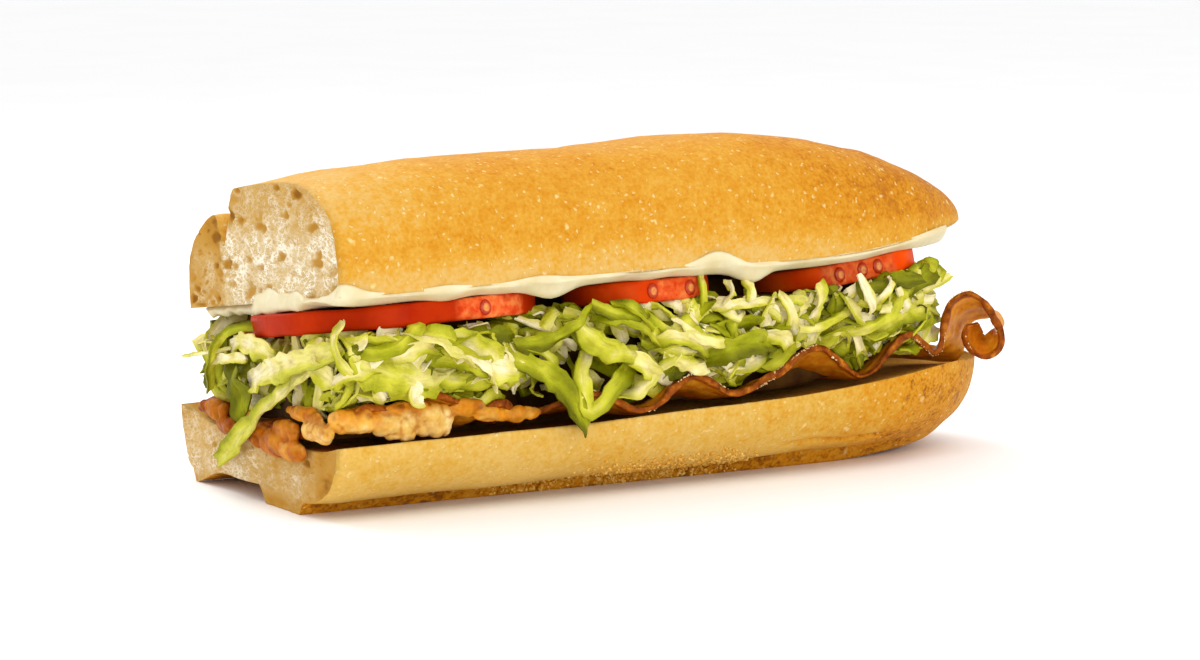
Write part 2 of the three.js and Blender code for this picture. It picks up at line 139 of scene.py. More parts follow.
def add_node(tree, kind, sources=None, **sockets):
    """A node whose sockets take constants, and sources that other nodes give."""
    node = tree.nodes.new(kind)
    for socket, value in sockets.items():
        if hasattr(node, socket):
            setattr(node, socket, value)
        else:
            node.inputs[socket.replace("_", " ")].default_value = value
    for socket, source in (sources or {}).items():
        tree.links.new(source, node.inputs[socket])
    return node


def ramp(tree, factor, stops):
    """Colours at places from 0 to 1 along a factor."""
    node = add_node(tree, "ShaderNodeValToRGB", {"Fac": factor})
    bands = node.color_ramp.elements
    while len(bands) < len(stops):
        bands.new(0.5)
    for band, (place, colour) in zip(bands, stops):
        band.position = place
        band.color = colour
    return node.outputs["Color"]


def blend(tree, factor, low, high, kind="MIX"):
    """One colour source turned into another by a factor."""
    node = tree.nodes.new("ShaderNodeMix")
    node.data_type = "RGBA"
    node.blend_type = kind
    for socket, source in ((node.inputs[0], factor), (node.inputs[6], low), (node.inputs[7], high)):
        if isinstance(source, bpy.types.NodeSocket):
            tree.links.new(source, socket)
        else:
            socket.default_value = source
    return node.outputs[2]


def noise(tree, size, detail=3, roughness=0.55, stretch=(1, 1, 1)):
    """Noise whose lumps are about size millimetres across, on the piece's own coordinates."""
    place = add_node(tree, "ShaderNodeTexCoord").outputs["Object"]
    scale = tuple(1 / s for s in stretch)
    turned = add_node(tree, "ShaderNodeMapping", {"Vector": place}, Scale=scale)
    texture = add_node(tree, "ShaderNodeTexNoise", {"Vector": turned.outputs["Vector"]},
                       Scale=1 / (size * MM), Detail=detail, Roughness=roughness)
    return texture.outputs["Fac"]


def attribute(tree, name):
    """The value that the mesh keeps at each point under this name."""
    return add_node(tree, "ShaderNodeAttribute", attribute_name=name).outputs["Fac"]


def roughen(tree, shader, height, strength, depth):
    """Bump on a shader from a height source."""
    bump = add_node(tree, "ShaderNodeBump", {"Height": height}, Strength=strength, Distance=depth * MM)
    tree.links.new(bump.outputs["Normal"], shader.inputs["Normal"])


def mottled_finish(name, size, stops, **sockets):
    """A finish whose colour wanders between stops, in patches of about size millimetres."""
    material, tree, shader = start_finish(name, **sockets)
    tree.links.new(ramp(tree, noise(tree, size), stops), shader.inputs["Base Color"])
    return material


paper_tones = [(0.3, (0.95, 0.95, 0.95, 1)), (0.7, (0.97, 0.97, 0.97, 1))]
floor.data.materials.append(mottled_finish("floor_white", 60, paper_tones, Roughness=0.8))
print("floor finished")

# %% [markdown]
# ## Crust and crumb
# A baked crust is never one colour: it is deeper on top, paler where the dough was covered, mottled at the
# size of a fingertip, and sprinkled with tiny pale blisters. The place-dependent part comes from a value
# that the mesh stores at each point. That value also carries painted light: a painted highlight on the top
# of the upper half near its cut end, and painted shade in the crack of the lower half. The rest comes from
# noise and Voronoi cells. The crumb is cream, and turns tan by another value that the mesh keeps. That tan
# is painted shade inside its pores and over the shaded parts of the cut faces, on top of some tan of its
# own. The white walls of its bubbles are drawn where a noise passes its middle value, which gives thin
# closed lines of every size.

# %% Crust and crumb finishes
def math_node(tree, operation, first, second):
    """Two numbers or sources, put together."""
    node = add_node(tree, "ShaderNodeMath", operation=operation)
    for socket, source in zip(node.inputs, (first, second)):
        if isinstance(source, bpy.types.NodeSocket):
            tree.links.new(source, socket)
        else:
            socket.default_value = source
    return node.outputs[0]


def blisters(tree, size, share, small, large):
    """Dots of mixed outline, in a share of cells of the given size. 1 inside a dot and 0 outside."""
    place = add_node(tree, "ShaderNodeTexCoord").outputs["Object"]
    wobble = add_node(tree, "ShaderNodeTexNoise", {"Vector": place}, Scale=1.3 / (size * MM), Detail=2)
    shift = add_node(tree, "ShaderNodeVectorMath", {0: wobble.outputs["Color"]}, operation="SCALE",
                     Scale=0.9 * size * MM)
    moved = add_node(tree, "ShaderNodeVectorMath", {0: place, 1: shift.outputs[0]}, operation="ADD")
    cells = add_node(tree, "ShaderNodeTexVoronoi", {"Vector": moved.outputs[0]}, Scale=1 / (size * MM))
    chosen = add_node(tree, "ShaderNodeSeparateColor", {"Color": cells.outputs["Color"]})
    dot = ramp(tree, cells.outputs["Distance"], [(small, (1, 1, 1, 1)), (large, (0, 0, 0, 1))])
    picked = math_node(tree, "GREATER_THAN", chosen.outputs["Red"], 1 - share)
    return math_node(tree, "MULTIPLY", dot, picked)


def crust_finish(name, colours, pale_dots, dot_colour):
    """Crust from pale to dark by a value that the mesh keeps, for the bake and for painted light, with
    mottling, fine grain and pale blisters.
    """
    material, tree, shader = start_finish(name, Roughness=0.6, Specular_IOR_Level=0.12)
    mottled = math_node(tree, "ADD", noise(tree, 9), math_node(tree, "MULTIPLY", noise(tree, 2.4), 1.4))
    mottled = math_node(tree, "ADD", mottled, math_node(tree, "MULTIPLY", noise(tree, 0.8, 2), 1.8))
    shifted = math_node(tree, "SUBTRACT", math_node(tree, "MULTIPLY", mottled, 0.45), 0.94)
    baked = math_node(tree, "ADD", shifted, attribute(tree, "bake_and_light"))
    colour = ramp(tree, baked, [(0.08, colours[0]), (0.42, colours[1]), (0.75, colours[2]), (1, colours[3])])
    fine = blisters(tree, 1.5, 0.4, 0.12, 0.3)
    broad = blisters(tree, 4.2, 0.26, 0.07, 0.2)
    dots = math_node(tree, "MAXIMUM", fine, broad)
    colour = blend(tree, math_node(tree, "MULTIPLY", dots, pale_dots), colour, dot_colour)
    tree.links.new(colour, shader.inputs["Base Color"])
    roughen(tree, shader, math_node(tree, "ADD", noise(tree, 0.8), dots), 0.6, 0.28)
    return material


crown_crust = crust_finish("crown_crust", [tint(206, 166, 92), tint(203, 148, 46), tint(194, 127, 16),
                                           tint(170, 100, 6)], 0.7, tint(236, 204, 134))
heel_crust = crust_finish("heel_crust", [tint(212, 174, 94), tint(205, 158, 60), tint(200, 131, 6),
                                         tint(132, 76, 12)], 0.5, tint(244, 214, 146))


def bubble_walls(tree, size, thin):
    """Thin closed lines round blobs of about the given size, wider than tall: 1 on a line and 0 off it."""
    off = math_node(tree, "SUBTRACT", noise(tree, size, 3, 0.6, (1, 1.9, 1)), 0.5)
    return ramp(tree, math_node(tree, "ABSOLUTE", off, 0), [(thin / 3, (1, 1, 1, 1)), (thin, (0, 0, 0, 1))])


crumb, tree, shader = start_finish("crumb", Roughness=0.9, Specular_IOR_Level=0.05)
# Crumb colour by a value that the mesh keeps. It is cream, then tan as painted shade in the pores and in the
# shaded parts of the cut faces, and dark red-brown as painted shade under the bacon.
crumb_tones = ramp(tree, attribute(tree, "crumb_shade_and_tan"), [(0, tint(204, 176, 122)), (0.35, tint(194, 154, 82)),
                                               (0.7, tint(184, 132, 50)), (0.9, tint(146, 96, 34)),
                                               (1, tint(168, 92, 26))])
walls = math_node(tree, "MAXIMUM", bubble_walls(tree, 3.2, 0.036), bubble_walls(tree, 1.5, 0.038))
fine = math_node(tree, "MULTIPLY", bubble_walls(tree, 0.8, 0.04), 0.6)
patchy = ramp(tree, noise(tree, 6, 2), [(0.38, (0.3, 0.3, 0.3, 1)), (0.58, (1, 1, 1, 1))])
walls = math_node(tree, "MULTIPLY", math_node(tree, "MAXIMUM", walls, fine), patchy)
shown = math_node(tree, "SUBTRACT", 0.9, math_node(tree, "MULTIPLY", attribute(tree, "crumb_shade_and_tan"), 1.7))
shown = math_node(tree, "MAXIMUM", shown, 0.0)
white = blend(tree, math_node(tree, "MULTIPLY", walls, shown), crumb_tones, tint(250, 243, 226))
tree.links.new(white, shader.inputs["Base Color"])
roughen(tree, shader, math_node(tree, "ADD", walls, noise(tree, 0.7, 4, 0.7)), 0.5, 0.3)
print("bread finishes:", [m.name for m in (crown_crust, heel_crust, crumb)])

# %% [markdown]
# ## Tools for shaping
# The solids were worked out from a few smooth lines, such as the height of the roll along its length. The
# same lines are used again here, so a dressed piece fills the place of its solid. The helpers below make
# such a line, ease between two values, and give soft random lumps that are the same at every run.

# %% Shaping helpers
def smooth_line(pairs):
    """A function through (x, value) pairs that keeps its slope at each of them."""
    xs, values = np.array(pairs, float).T
    slopes = np.gradient(values, xs)

    def at(x):
        x = np.clip(x, xs[0], xs[-1])
        i = np.clip(np.searchsorted(xs, x) - 1, 0, len(xs) - 2)
        step = xs[i + 1] - xs[i]
        t = (x - xs[i]) / step
        start = (1 + 2 * t) * (1 - t) ** 2 * values[i] + t * (1 - t) ** 2 * step * slopes[i]
        return start + t * t * (3 - 2 * t) * values[i + 1] + t * t * (t - 1) * step * slopes[i + 1]
    return at


def ease(x, low, high):
    """0 below low, 1 above high, and a smooth rise between them."""
    t = np.clip((x - low) / (high - low), 0, 1)
    return t * t * (3 - 2 * t)


def lumps(points, size, seed=0):
    """Soft noise from -1 to 1 whose lumps are about size across."""
    place = np.asarray(points, float) / size + 31.7 * seed
    cell = np.floor(place).astype(np.int64)
    inside = place - cell
    inside = inside * inside * (3 - 2 * inside)
    total = np.zeros(len(place))
    for corner in itertools.product((0, 1), repeat=3):
        key = (cell + corner) @ np.array([374761, 668265, 982451])
        value = np.sin(key % 100003 * 12.9898) * 43758.5453
        weight = np.prod(np.where(corner, inside, 1 - inside), axis=1)
        total += weight * (2 * (value - np.floor(value)) - 1)
    return total


def points_of(piece):
    """A piece's points in millimetres."""
    flat = np.zeros(3 * len(piece.data.vertices), np.float32)
    piece.data.vertices.foreach_get("co", flat)
    return flat.reshape(-1, 3).astype(float) / MM


def set_points(piece, points):
    """Moves a piece's points to places in millimetres."""
    piece.data.vertices.foreach_set("co", (np.asarray(points) * MM).astype(np.float32).ravel())
    piece.data.update()


def normals_of(piece):
    """The outward direction at each point of a piece."""
    flat = np.zeros(3 * len(piece.data.vertices), np.float32)
    piece.data.vertices.foreach_get("normal", flat)
    return flat.reshape(-1, 3).astype(float)


def store(piece, name, values):
    """Keeps one number at each point of a piece, for its finish to read."""
    layer = piece.data.attributes.new(name, "FLOAT", "POINT")
    layer.data.foreach_set("value", np.asarray(values, np.float32))


def make_active(piece):
    """Selects one piece alone, for the operators that follow."""
    bpy.ops.object.select_all(action="DESELECT")
    piece.select_set(True)
    bpy.context.view_layer.objects.active = piece


def settle(piece, slot, *nodes):
    """Smooth shading, and the piece's place in the model."""
    make_active(piece)
    bpy.ops.object.shade_smooth()
    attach(piece, "root")
    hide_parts(*nodes)
    box = points_of(piece)
    print(piece.name, len(piece.data.polygons), "faces, mm:", box.min(0).round(1), box.max(0).round(1))


# %% [markdown]
# ## A block that becomes bread
# Both halves of the roll have a flat cut face that needs many small faces for its pores, and long sides
# that need fewer. A unit grid serves as the cut face. Its border is extruded to the far end, the long edges
# are subdivided, and the end is filled. Then each point of the block has three numbers from 0 to 1: across
# the face, up the face and along the roll. Those are all that a shape needs.

# %% Drawing out a block
def select_edges(piece, wanted):
    """Selects the edges of the piece in edit mode whose two ends answer wanted."""
    bpy.ops.mesh.select_mode(type="EDGE")
    bpy.ops.mesh.select_all(action="DESELECT")
    mesh = bmesh.from_edit_mesh(piece.data)
    for edge in mesh.edges:
        if wanted(edge.verts[0].co, edge.verts[1].co):
            edge.select_set(True)
    bmesh.update_edit_mesh(piece.data)


def unit_grid(name, columns, rows):
    """A flat grid that runs from 0 to 1 both ways."""
    bpy.ops.object.select_all(action="DESELECT")
    bpy.ops.mesh.primitive_grid_add(x_subdivisions=columns, y_subdivisions=rows, size=1,
                                    location=(0.5, 0.5, 0))
    grid = bpy.context.object
    grid.name = grid.data.name = name
    bpy.ops.object.transform_apply(location=True, rotation=True, scale=True)
    return grid


def put_in_order(piece, steps):
    """Sorts a block's points and faces by place: extruding leaves them in another order at each run."""
    places = (points_of(piece) * MM * steps).round() / steps
    order = np.lexsort(places.T)
    rank = np.argsort(order)
    faces = []
    for face in piece.data.polygons:
        corners = rank[list(face.vertices)].tolist()
        first = corners.index(min(corners))
        faces.append(corners[first:] + corners[:first])
    piece.data.clear_geometry()
    piece.data.from_pydata(places[order].tolist(), [], sorted(faces))


def draw_out(name, columns, rows, cuts):
    """A unit block: a fine grid below, its border extruded up, cut across and closed at the top."""
    piece = unit_grid(name, columns, rows)
    bpy.ops.object.mode_set(mode="EDIT")
    bpy.ops.mesh.select_all(action="SELECT")
    bpy.ops.mesh.region_to_loop()
    bpy.ops.mesh.extrude_region_move(TRANSFORM_OT_translate={"value": (0, 0, 1)})
    bpy.ops.mesh.edge_face_add()
    select_edges(piece, lambda a, b: abs(a.z - b.z) > 0.5)
    bpy.ops.mesh.subdivide(number_cuts=cuts)
    bpy.ops.mesh.select_all(action="SELECT")
    bpy.ops.mesh.normals_make_consistent(inside=False)
    bpy.ops.object.mode_set(mode="OBJECT")
    put_in_order(piece, np.array([columns, rows, cuts + 1]))
    return piece


def walked_along(points):
    """How far along a line each of its points lies."""
    return np.concatenate([[0], np.cumsum(np.linalg.norm(np.diff(points, axis=0), axis=1))])


def even_line(points):
    """A line through points, walked at an even pace: a function of the share walked, from 0 to 1."""
    points = np.asarray(points, float)
    walked = walked_along(points)
    share = walked / walked[-1]
    return lambda u: np.stack([np.interp(u, share, side) for side in points.T], axis=-1)


def paint_faces(piece, faces_of):
    """Gives each face the material slot that faces_of works out from its middle, in the unit block."""
    flat = np.zeros(3 * len(piece.data.polygons), np.float32)
    piece.data.polygons.foreach_get("center", flat)
    slots = faces_of(*flat.reshape(-1, 3).T)
    piece.data.polygons.foreach_set("material_index", slots.astype(np.int32))


def close_seams(piece):
    """Merges points that fell on one another, which closes the corners and the tip."""
    bpy.ops.object.mode_set(mode="EDIT")
    bpy.ops.mesh.select_all(action="SELECT")
    bpy.ops.mesh.remove_doubles(threshold=0.03 * MM)
    bpy.ops.mesh.normals_make_consistent(inside=False)
    bpy.ops.object.mode_set(mode="OBJECT")


def pit_depth(across, above, kinds, seed):
    """How deep pores of several kinds sink at each place of a cut face, in millimetres."""
    draw = np.random.default_rng(seed)
    depth = np.zeros(len(across))
    wobble = 1 + 0.8 * lumps(np.stack([across, above, 0 * above], axis=-1), 1, seed)
    for count, smallest, largest in kinds:
        for _ in range(count):
            left_right = draw.uniform(across.min(), across.max())
            height = above.min() + draw.random() ** 1.7 * np.ptp(above)  # more of them low down
            radius = smallest + (largest - smallest) * draw.random() ** 3
            longer = radius * draw.uniform(1, 2)
            turn = draw.uniform(-0.7, 0.7)
            dx, dz = across - left_right, above - height
            far = ((dx * math.cos(turn) + dz * math.sin(turn)) / longer) ** 2
            far += ((dz * math.cos(turn) - dx * math.sin(turn)) / radius) ** 2
            far = far * wobble
            depth = np.maximum(depth, radius * np.sqrt(np.clip(1 - far, 0, 1)))
    return depth


# %% [markdown]
# ## The top bun
# The upper half of the roll is a rounded dome over a flat inner face, tapering to a blunt tip, with a
# baker's slash along its back. It is tilted, so that the sandwich gapes at the front. The dome's outline is
# walked at an even pace, because a superellipse drawn by angle would crowd its points at the sides.

# %% Top bun
CUT_X = -90
CROWN_TIP_X = 79.4
CROWN_TAPER_X = 15
CROWN_BLUNTNESS = 2.2
CROWN_HALF_WIDTH = 34.6
CROWN_Y = -2
CROWN_SQUARENESS = 3.2
CREASE_Y = 16.5
CREASE_DEPTH = 8
CREASE_HALF_WIDTH = 2.6
CREASE_END_X = 62
BACK_LOBE_DROP = 3.2
TIP_GAP = 0.004  # keeps the last ring of a bun from closing to a point
crown_top = smooth_line([(-90, 24.4), (-73, 26.8), (-45, 27.4), (-20, 27.2), (-8, 27.6), (25, 27.6),
                         (43, 23.3), (60, 15.8), (72, 7.7), (80, 0.6)])
crown_base = smooth_line([(-90, 41.8), (-73, 41.9), (-45, 42.5), (-10, 43.5), (3, 43.7), (15, 43.5),
                          (25, 43.7), (40, 44.7), (55, 46.7), (80, 50.4)])


def rounded_end(x, taper_x, tip_x, half_width, power):
    """A half width that holds until the taper and then closes round the tip."""
    t = np.clip((x - taper_x) / (tip_x - taper_x), 0, 1)
    return half_width * (1 - t ** power) ** (1 / power)


def crown_tilt(x):
    """The lean of the top bun, a little more at its cut end."""
    return np.radians(7.9 - ease(x, -50, 10))


def crown_half_width(x):
    """The top bun's half width along the roll."""
    return rounded_end(x, CROWN_TAPER_X, CROWN_TIP_X, CROWN_HALF_WIDTH, CROWN_BLUNTNESS)


def in_crown(x, across, above):
    """A point given across and above the top bun's inner face."""
    tilt = crown_tilt(x)
    y = CROWN_Y + across * np.cos(tilt) + above * np.sin(tilt)
    z = crown_base(x) - across * np.sin(tilt) + above * np.cos(tilt)
    return np.stack([x, y, z], axis=-1)


def crease(x, across):
    """How far the slash, and the lobe behind it, lie below the dome."""
    fade = 1 - ease(x, CREASE_END_X - 35, CREASE_END_X)
    slash = CREASE_DEPTH * np.exp(-((across - CREASE_Y) / CREASE_HALF_WIDTH) ** 2)
    return fade * (slash + BACK_LOBE_DROP * ease(across, CREASE_Y - 6, CREASE_Y))


dome_angles = np.linspace(math.pi, 0, 4001)
dome = np.stack([np.sign(np.cos(dome_angles)) * np.abs(np.cos(dome_angles)) ** (2 / CROWN_SQUARENESS),
                 np.abs(np.sin(dome_angles)) ** (2 / CROWN_SQUARENESS)], axis=-1)
dome_size = (CROWN_HALF_WIDTH, crown_top(-20))
dome_outline = even_line(dome * dome_size)

top_bun = draw_out("top_bun_bread", 250, 84, 96)
u, v, w = points_of(top_bun).T * MM
paint_faces(top_bun, lambda u, v, w: np.where((w > 0) & ((v > 0.999) | (w > 0.999)), 0, 1))
x = CUT_X + (CROWN_TIP_X - TIP_GAP - CUT_X) * np.sin(w * math.pi / 2)
half, top = crown_half_width(x), crown_top(x)
over = dome_outline(u) / dome_size
across = half * ((1 - v) * (2 * u - 1) + v * over[:, 0])
above = top * v * over[:, 1]
above = above - crease(x, across) * ease(above, 0.35 * top, 0.7 * top)
set_points(top_bun, in_crown(x, across, above))
print("top bun drawn out:", len(x), "points")

# %% [markdown]
# ### Crust relief and pores
# The block is smooth so far. The crust gets broad lumps, as proved dough has, and shallow wrinkles down the
# front. The cut face gets pores, pushed in along the roll. Both fade out at the sharp edge between them,
# where the knife left a clean line.

# %% Top bun relief
def crumb_relief(points, across, above, edge, kinds, seed):
    """How far each point of a cut face sinks, and how much painted shade its pores get."""
    flat = np.stack([across / 1.9, above, np.zeros(len(above))], axis=-1)
    bubbles = -0.5 * lumps(flat, 2.4, seed) - 0.4 * lumps(flat, 1.2, seed + 3)
    bubbles = np.clip(bubbles - 0.3 * lumps(flat, 0.7, seed + 4) - 0.12, 0, 1)
    pits = np.maximum(pit_depth(across / 1.5, above, kinds, seed), 0.7 * bubbles)
    torn = 0.35 * lumps(points, 7, seed) + 0.15 * lumps(points, 2.6, seed + 1)
    inside = ease(edge, 0.15, 1.5)
    return inside * (0.3 + torn + 0.55 * pits), inside * np.clip(0.55 * pits, 0, 0.6)


CROWN_PORES = [(22, 0.9, 1.5), (70, 0.45, 0.9), (140, 0.28, 0.45)]  # count, smallest and largest radius
INNER_FACE_TAN = 0.25

smooth_bun = points_of(top_bun)
on_cut = w < 1e-6
edge = np.minimum(v, 1 - v) * (top * over[:, 1]) + np.minimum(u, 1 - u) * 8 * on_cut
sunk, crumb_shade_and_tan = crumb_relief(smooth_bun, across, above, edge, CROWN_PORES, 11)
crust_share = np.where(v > 0.999, 1.0, 0.0)
swell = 0.55 * lumps(smooth_bun, 26, 1) + 0.28 * lumps(smooth_bun, 9, 2) + 0.1 * lumps(smooth_bun, 3, 3)
drift = 7 * lumps(smooth_bun * (0, 1, 1), 16, 4) + 1.5 * lumps(smooth_bun, 5, 5)
wrinkle = np.abs(np.sin((x + drift) / 11)) ** 12 * np.clip(lumps(smooth_bun, 22, 6) + 0.1, 0, 1)
raised = crust_share * ease(w, 0, 0.02) * (swell - 0.9 * wrinkle)
moved = smooth_bun + normals_of(top_bun) * raised[:, None]
moved[:, 0] = np.where(on_cut, CUT_X + sunk, moved[:, 0])
set_points(top_bun, moved)
height = above / np.maximum(top, 1)
# Painted highlight: the top of the crust is made paler towards the cut end.
highlight_at_cut_end = (1 - ease(x, -90, -50)) * ease(height, 0.3, 0.8)
bake_and_light = 0.16 + 0.36 * ease(height, 0.02, 0.35) + 0.04 * ease(height, 0.5, 0.95)
bake_and_light += 0.3 * ease(x, -10, 60) - 0.3 * highlight_at_cut_end + 0.06 * lumps(smooth_bun, 30, 8)
# A paler strip on the top, in front of the slash, towards the cut end.
pale_strip = np.exp(-((across - CREASE_Y + 7) / 3.5) ** 2) * (1 - ease(x, -60, 10)) * (above > 0.6 * top)
store(top_bun, "bake_and_light", bake_and_light - 0.4 * pale_strip)
# Painted shade: the upper part of the cut face is made tan. The band behind the slash is made tan too.
shade_and_tan = 0.36 * ease(height + 0.12 * lumps(smooth_bun, 7, 10), 0.45, 0.75)
shade_and_tan = shade_and_tan + 0.4 * ease(across, CREASE_Y - 1, CREASE_Y + 3)
crumb_shade_and_tan = np.clip(crumb_shade_and_tan + shade_and_tan * (edge > 0.05) + 0.12 * lumps(smooth_bun, 5, 9), 0, 0.9)
store(top_bun, "crumb_shade_and_tan", np.where(on_cut, crumb_shade_and_tan, INNER_FACE_TAN))
for bread in (crown_crust, crumb):
    top_bun.data.materials.append(bread)
close_seams(top_bun)
settle(top_bun, "bread_top", "top_bun")

# %% [markdown]
# ## The bottom bun
# The lower half is a shallow boat: a dished inner face, rounded sides and a flat base that lifts towards
# the tip. Under the cut end the base is hollow. The same block is drawn out, with its lower border laid
# round the crust and its upper border across the inner face. Towards the tip the boat's outline gives way
# to a rounder bowl, because a flat base would leave a hard corner there.

# %% Bottom bun
HEEL_TIP_X = 84.6
HEEL_TAPER_X = 25
HEEL_BLUNTNESS = 2.4
HEEL_HALF_WIDTH = 36
HEEL_HEIGHT = 16
HEEL_Y = 1.5
HEEL_FOOT_FRONT = 0.58
HEEL_FOOT_BACK = 0.86
HEEL_DISH = 2.6
FOOT_SHARE = 0.18
HEEL_LIFT_X = 60
HEEL_LIFT = 15
ARCH_HEIGHT = 3.6
ARCH_LENGTH = 45
ARCH_FRONT_Y = -2
ARCH_BACK_Y = 32
heel_rim = smooth_line([(-90, 15.9), (-53, 16.1), (-29, 16.4), (-5, 17.4), (20, 18.2), (46, 20.2),
                        (67, 21.6), (86, 20)])


def heel_half_width(x):
    """The bottom bun's half width along the roll."""
    return rounded_end(x, HEEL_TAPER_X, HEEL_TIP_X, HEEL_HALF_WIDTH, HEEL_BLUNTNESS)


def heel_underside(x):
    """The height of the base, which lifts towards the tip."""
    t = np.clip((x - HEEL_LIFT_X) / (HEEL_TIP_X - HEEL_LIFT_X), 0, 1)
    return HEEL_LIFT * (1 - np.sqrt(1 - t * t))


def heel_top(x, y):
    """The height of the dished inner face."""
    share = np.clip((y - HEEL_Y) / np.maximum(heel_half_width(x), 1), -1, 1)
    return heel_rim(x) - HEEL_DISH * (1 - share ** 4)


def arch_under(x, y):
    """How high the hollow under the cut end is."""
    inward = 1 - ease(x, CUT_X, CUT_X + ARCH_LENGTH)
    front = ease(y, ARCH_FRONT_Y, ARCH_FRONT_Y + 4)
    return ARCH_HEIGHT * inward * front * (1 - ease(y, ARCH_BACK_Y - 14, ARCH_BACK_Y))


quarter = np.linspace(0, math.pi / 2, 200)
sides = 1 - (1 - FOOT_SHARE) * np.sin(quarter)
front_side = np.stack([-HEEL_FOOT_FRONT - (1 - HEEL_FOOT_FRONT) * np.cos(quarter), sides], axis=-1)
back_side = np.stack([HEEL_FOOT_BACK + (1 - HEEL_FOOT_BACK) * np.cos(quarter), sides], axis=-1)
base = [(0.06 - HEEL_FOOT_FRONT, 0), (HEEL_FOOT_BACK - 0.04, 0)]
boat = np.concatenate([front_side, base, back_side[::-1]])
heel_size = (HEEL_HALF_WIDTH, HEEL_HEIGHT)
boat_outline = even_line(boat * heel_size)
bowl = np.stack([-np.cos(2 * quarter), 1 - np.sin(2 * quarter)], axis=-1)
bowl_outline = even_line(bowl * heel_size)

bottom_bun = draw_out("bottom_bun_bread", 250, 56, 110)
u, v, w = points_of(bottom_bun).T * MM
paint_faces(bottom_bun, lambda u, v, w: np.where((w > 0) & ((v < 0.001) | (w > 0.999)), 0, 1))
x = CUT_X + (HEEL_TIP_X - TIP_GAP - CUT_X) * np.sin(w * math.pi / 2)
half, rim, low = heel_half_width(x), heel_rim(x), heel_underside(x)
rounder = 0.8 * ease(x, 40, 78)[:, None]
under = ((1 - rounder) * boat_outline(u) + rounder * bowl_outline(u)) / heel_size
side_y = HEEL_Y + half * under[:, 0]
side_z = low + (rim - low) * under[:, 1] + arch_under(x, side_y) * (1 - under[:, 1])
inner_y = HEEL_Y + half * (2 * u - 1)
y = (1 - v) * side_y + v * inner_y
z = (1 - v) * side_z + v * np.maximum(heel_top(x, inner_y), low + 0.05)
set_points(bottom_bun, np.stack([x, y, z], axis=-1))
print("bottom bun drawn out:", len(x), "points")

# %% [markdown]
# ### Foot, crack and painted shade on the crumb
# The lower half has a darker foot where it lay on the stone, and a crack above the foot near the tip, where
# the dough tore as it rose. The crack is painted darker, as shade in the crease. Its cut face has fewer and
# smaller pores, and turns tan towards the front and the bottom: painted shade over the crumb's own tan. The
# inner face is a darker tan. At the front left, under the bacon, its value goes on to a dark red-brown,
# painted shade where the bacon hangs over it. Stored values do all this without any painting by hand.

# %% Bottom bun relief
HEEL_PORES = [(5, 0.5, 0.9), (40, 0.28, 0.5)]

smooth_bun = points_of(bottom_bun)
on_cut = w < 1e-6
edge = np.minimum(v, 1 - v) * 15 + np.minimum(u, 1 - u) * 20 * on_cut
sunk, crumb_shade_and_tan = crumb_relief(smooth_bun, y, z, edge, HEEL_PORES, 21)
crust_share = np.where(v < 0.001, 1.0, 0.0)
swell = 0.5 * lumps(smooth_bun, 24, 11) + 0.25 * lumps(smooth_bun, 8, 12) + 0.1 * lumps(smooth_bun, 2.5, 13)
rise = z - low
crack = np.exp(-((rise - 6.6 + 0.02 * (x - 30) - 0.6 * lumps(smooth_bun * (1, 0, 0), 9, 17)) / 0.5) ** 2)
crack = crack * ease(x, 18, 30) * (1 - ease(x, 42, 58)) * (y < 0)
clear = crust_share * ease(w, 0, 0.02) * ease(z, 0.2, 3)
moved = smooth_bun + normals_of(bottom_bun) * (clear * (swell - 0.9 * crack))[:, None]
moved[:, 0] = np.where(on_cut, CUT_X + sunk, moved[:, 0])
set_points(bottom_bun, moved)
in_band = 1 - ease(under[:, 1] + 0.02 * lumps(smooth_bun, 6, 15), FOOT_SHARE - 0.01, FOOT_SHARE + 0.03)
# The crack is painted darker, as shade in the crease.
bake_and_light = 0.28 + 0.42 * ease(x, -5, 60) + 0.1 * lumps(smooth_bun, 26, 14) + 0.2 * crack
bake_and_light = np.maximum(bake_and_light, in_band * (0.8 + 0.12 * lumps(smooth_bun, 9, 18)))
store(bottom_bun, "bake_and_light", bake_and_light)
# Painted shade: the cut face turns tan towards the front and the bottom, and the inner face turns dark
# red-brown at the front left, under the bacon.
shade_and_tan = 0.28 + 0.34 * (1 - ease(y, -34, -8)) + 0.2 * (1 - ease(z, 1, 5))
crumb_shade_and_tan = np.clip(0.9 * crumb_shade_and_tan + shade_and_tan + 0.16 * lumps(smooth_bun, 7, 16), 0, 0.9)
inner_face_shade = 0.68 + 0.2 * lumps(smooth_bun, 6, 19) + 0.4 * (1 - ease(x, -30, 0)) * (1 - ease(y, -22, -8))
store(bottom_bun, "crumb_shade_and_tan", np.where(on_cut, crumb_shade_and_tan, np.clip(inner_face_shade, 0, 1)))
for bread in (heel_crust, crumb):
    bottom_bun.data.materials.append(bread)
close_seams(bottom_bun)
settle(bottom_bun, "bread_bottom", "bottom_bun")

# %% [markdown]
# ### Cornmeal
# Bakers dust the peel with cornmeal, and some grains stay on the lower front of the roll. A small
# icosahedron is the pattern. Its points are copied to places picked on the crust, each stretched a little
# differently, and all of them make one mesh. The same helper serves again for the pale beads that stand for
# painted glints on the bacon's rim.

# %% Cornmeal
MEAL_GRAINS = 1500


def piece_from(name, points, faces):
    """A new piece from points in millimetres and the faces between them."""
    mesh = bpy.data.meshes.new(name)
    mesh.from_pydata((points * MM).tolist(), [], faces)
    piece = bpy.data.objects.new(name, mesh)
    bpy.context.scene.collection.objects.link(piece)
    return piece


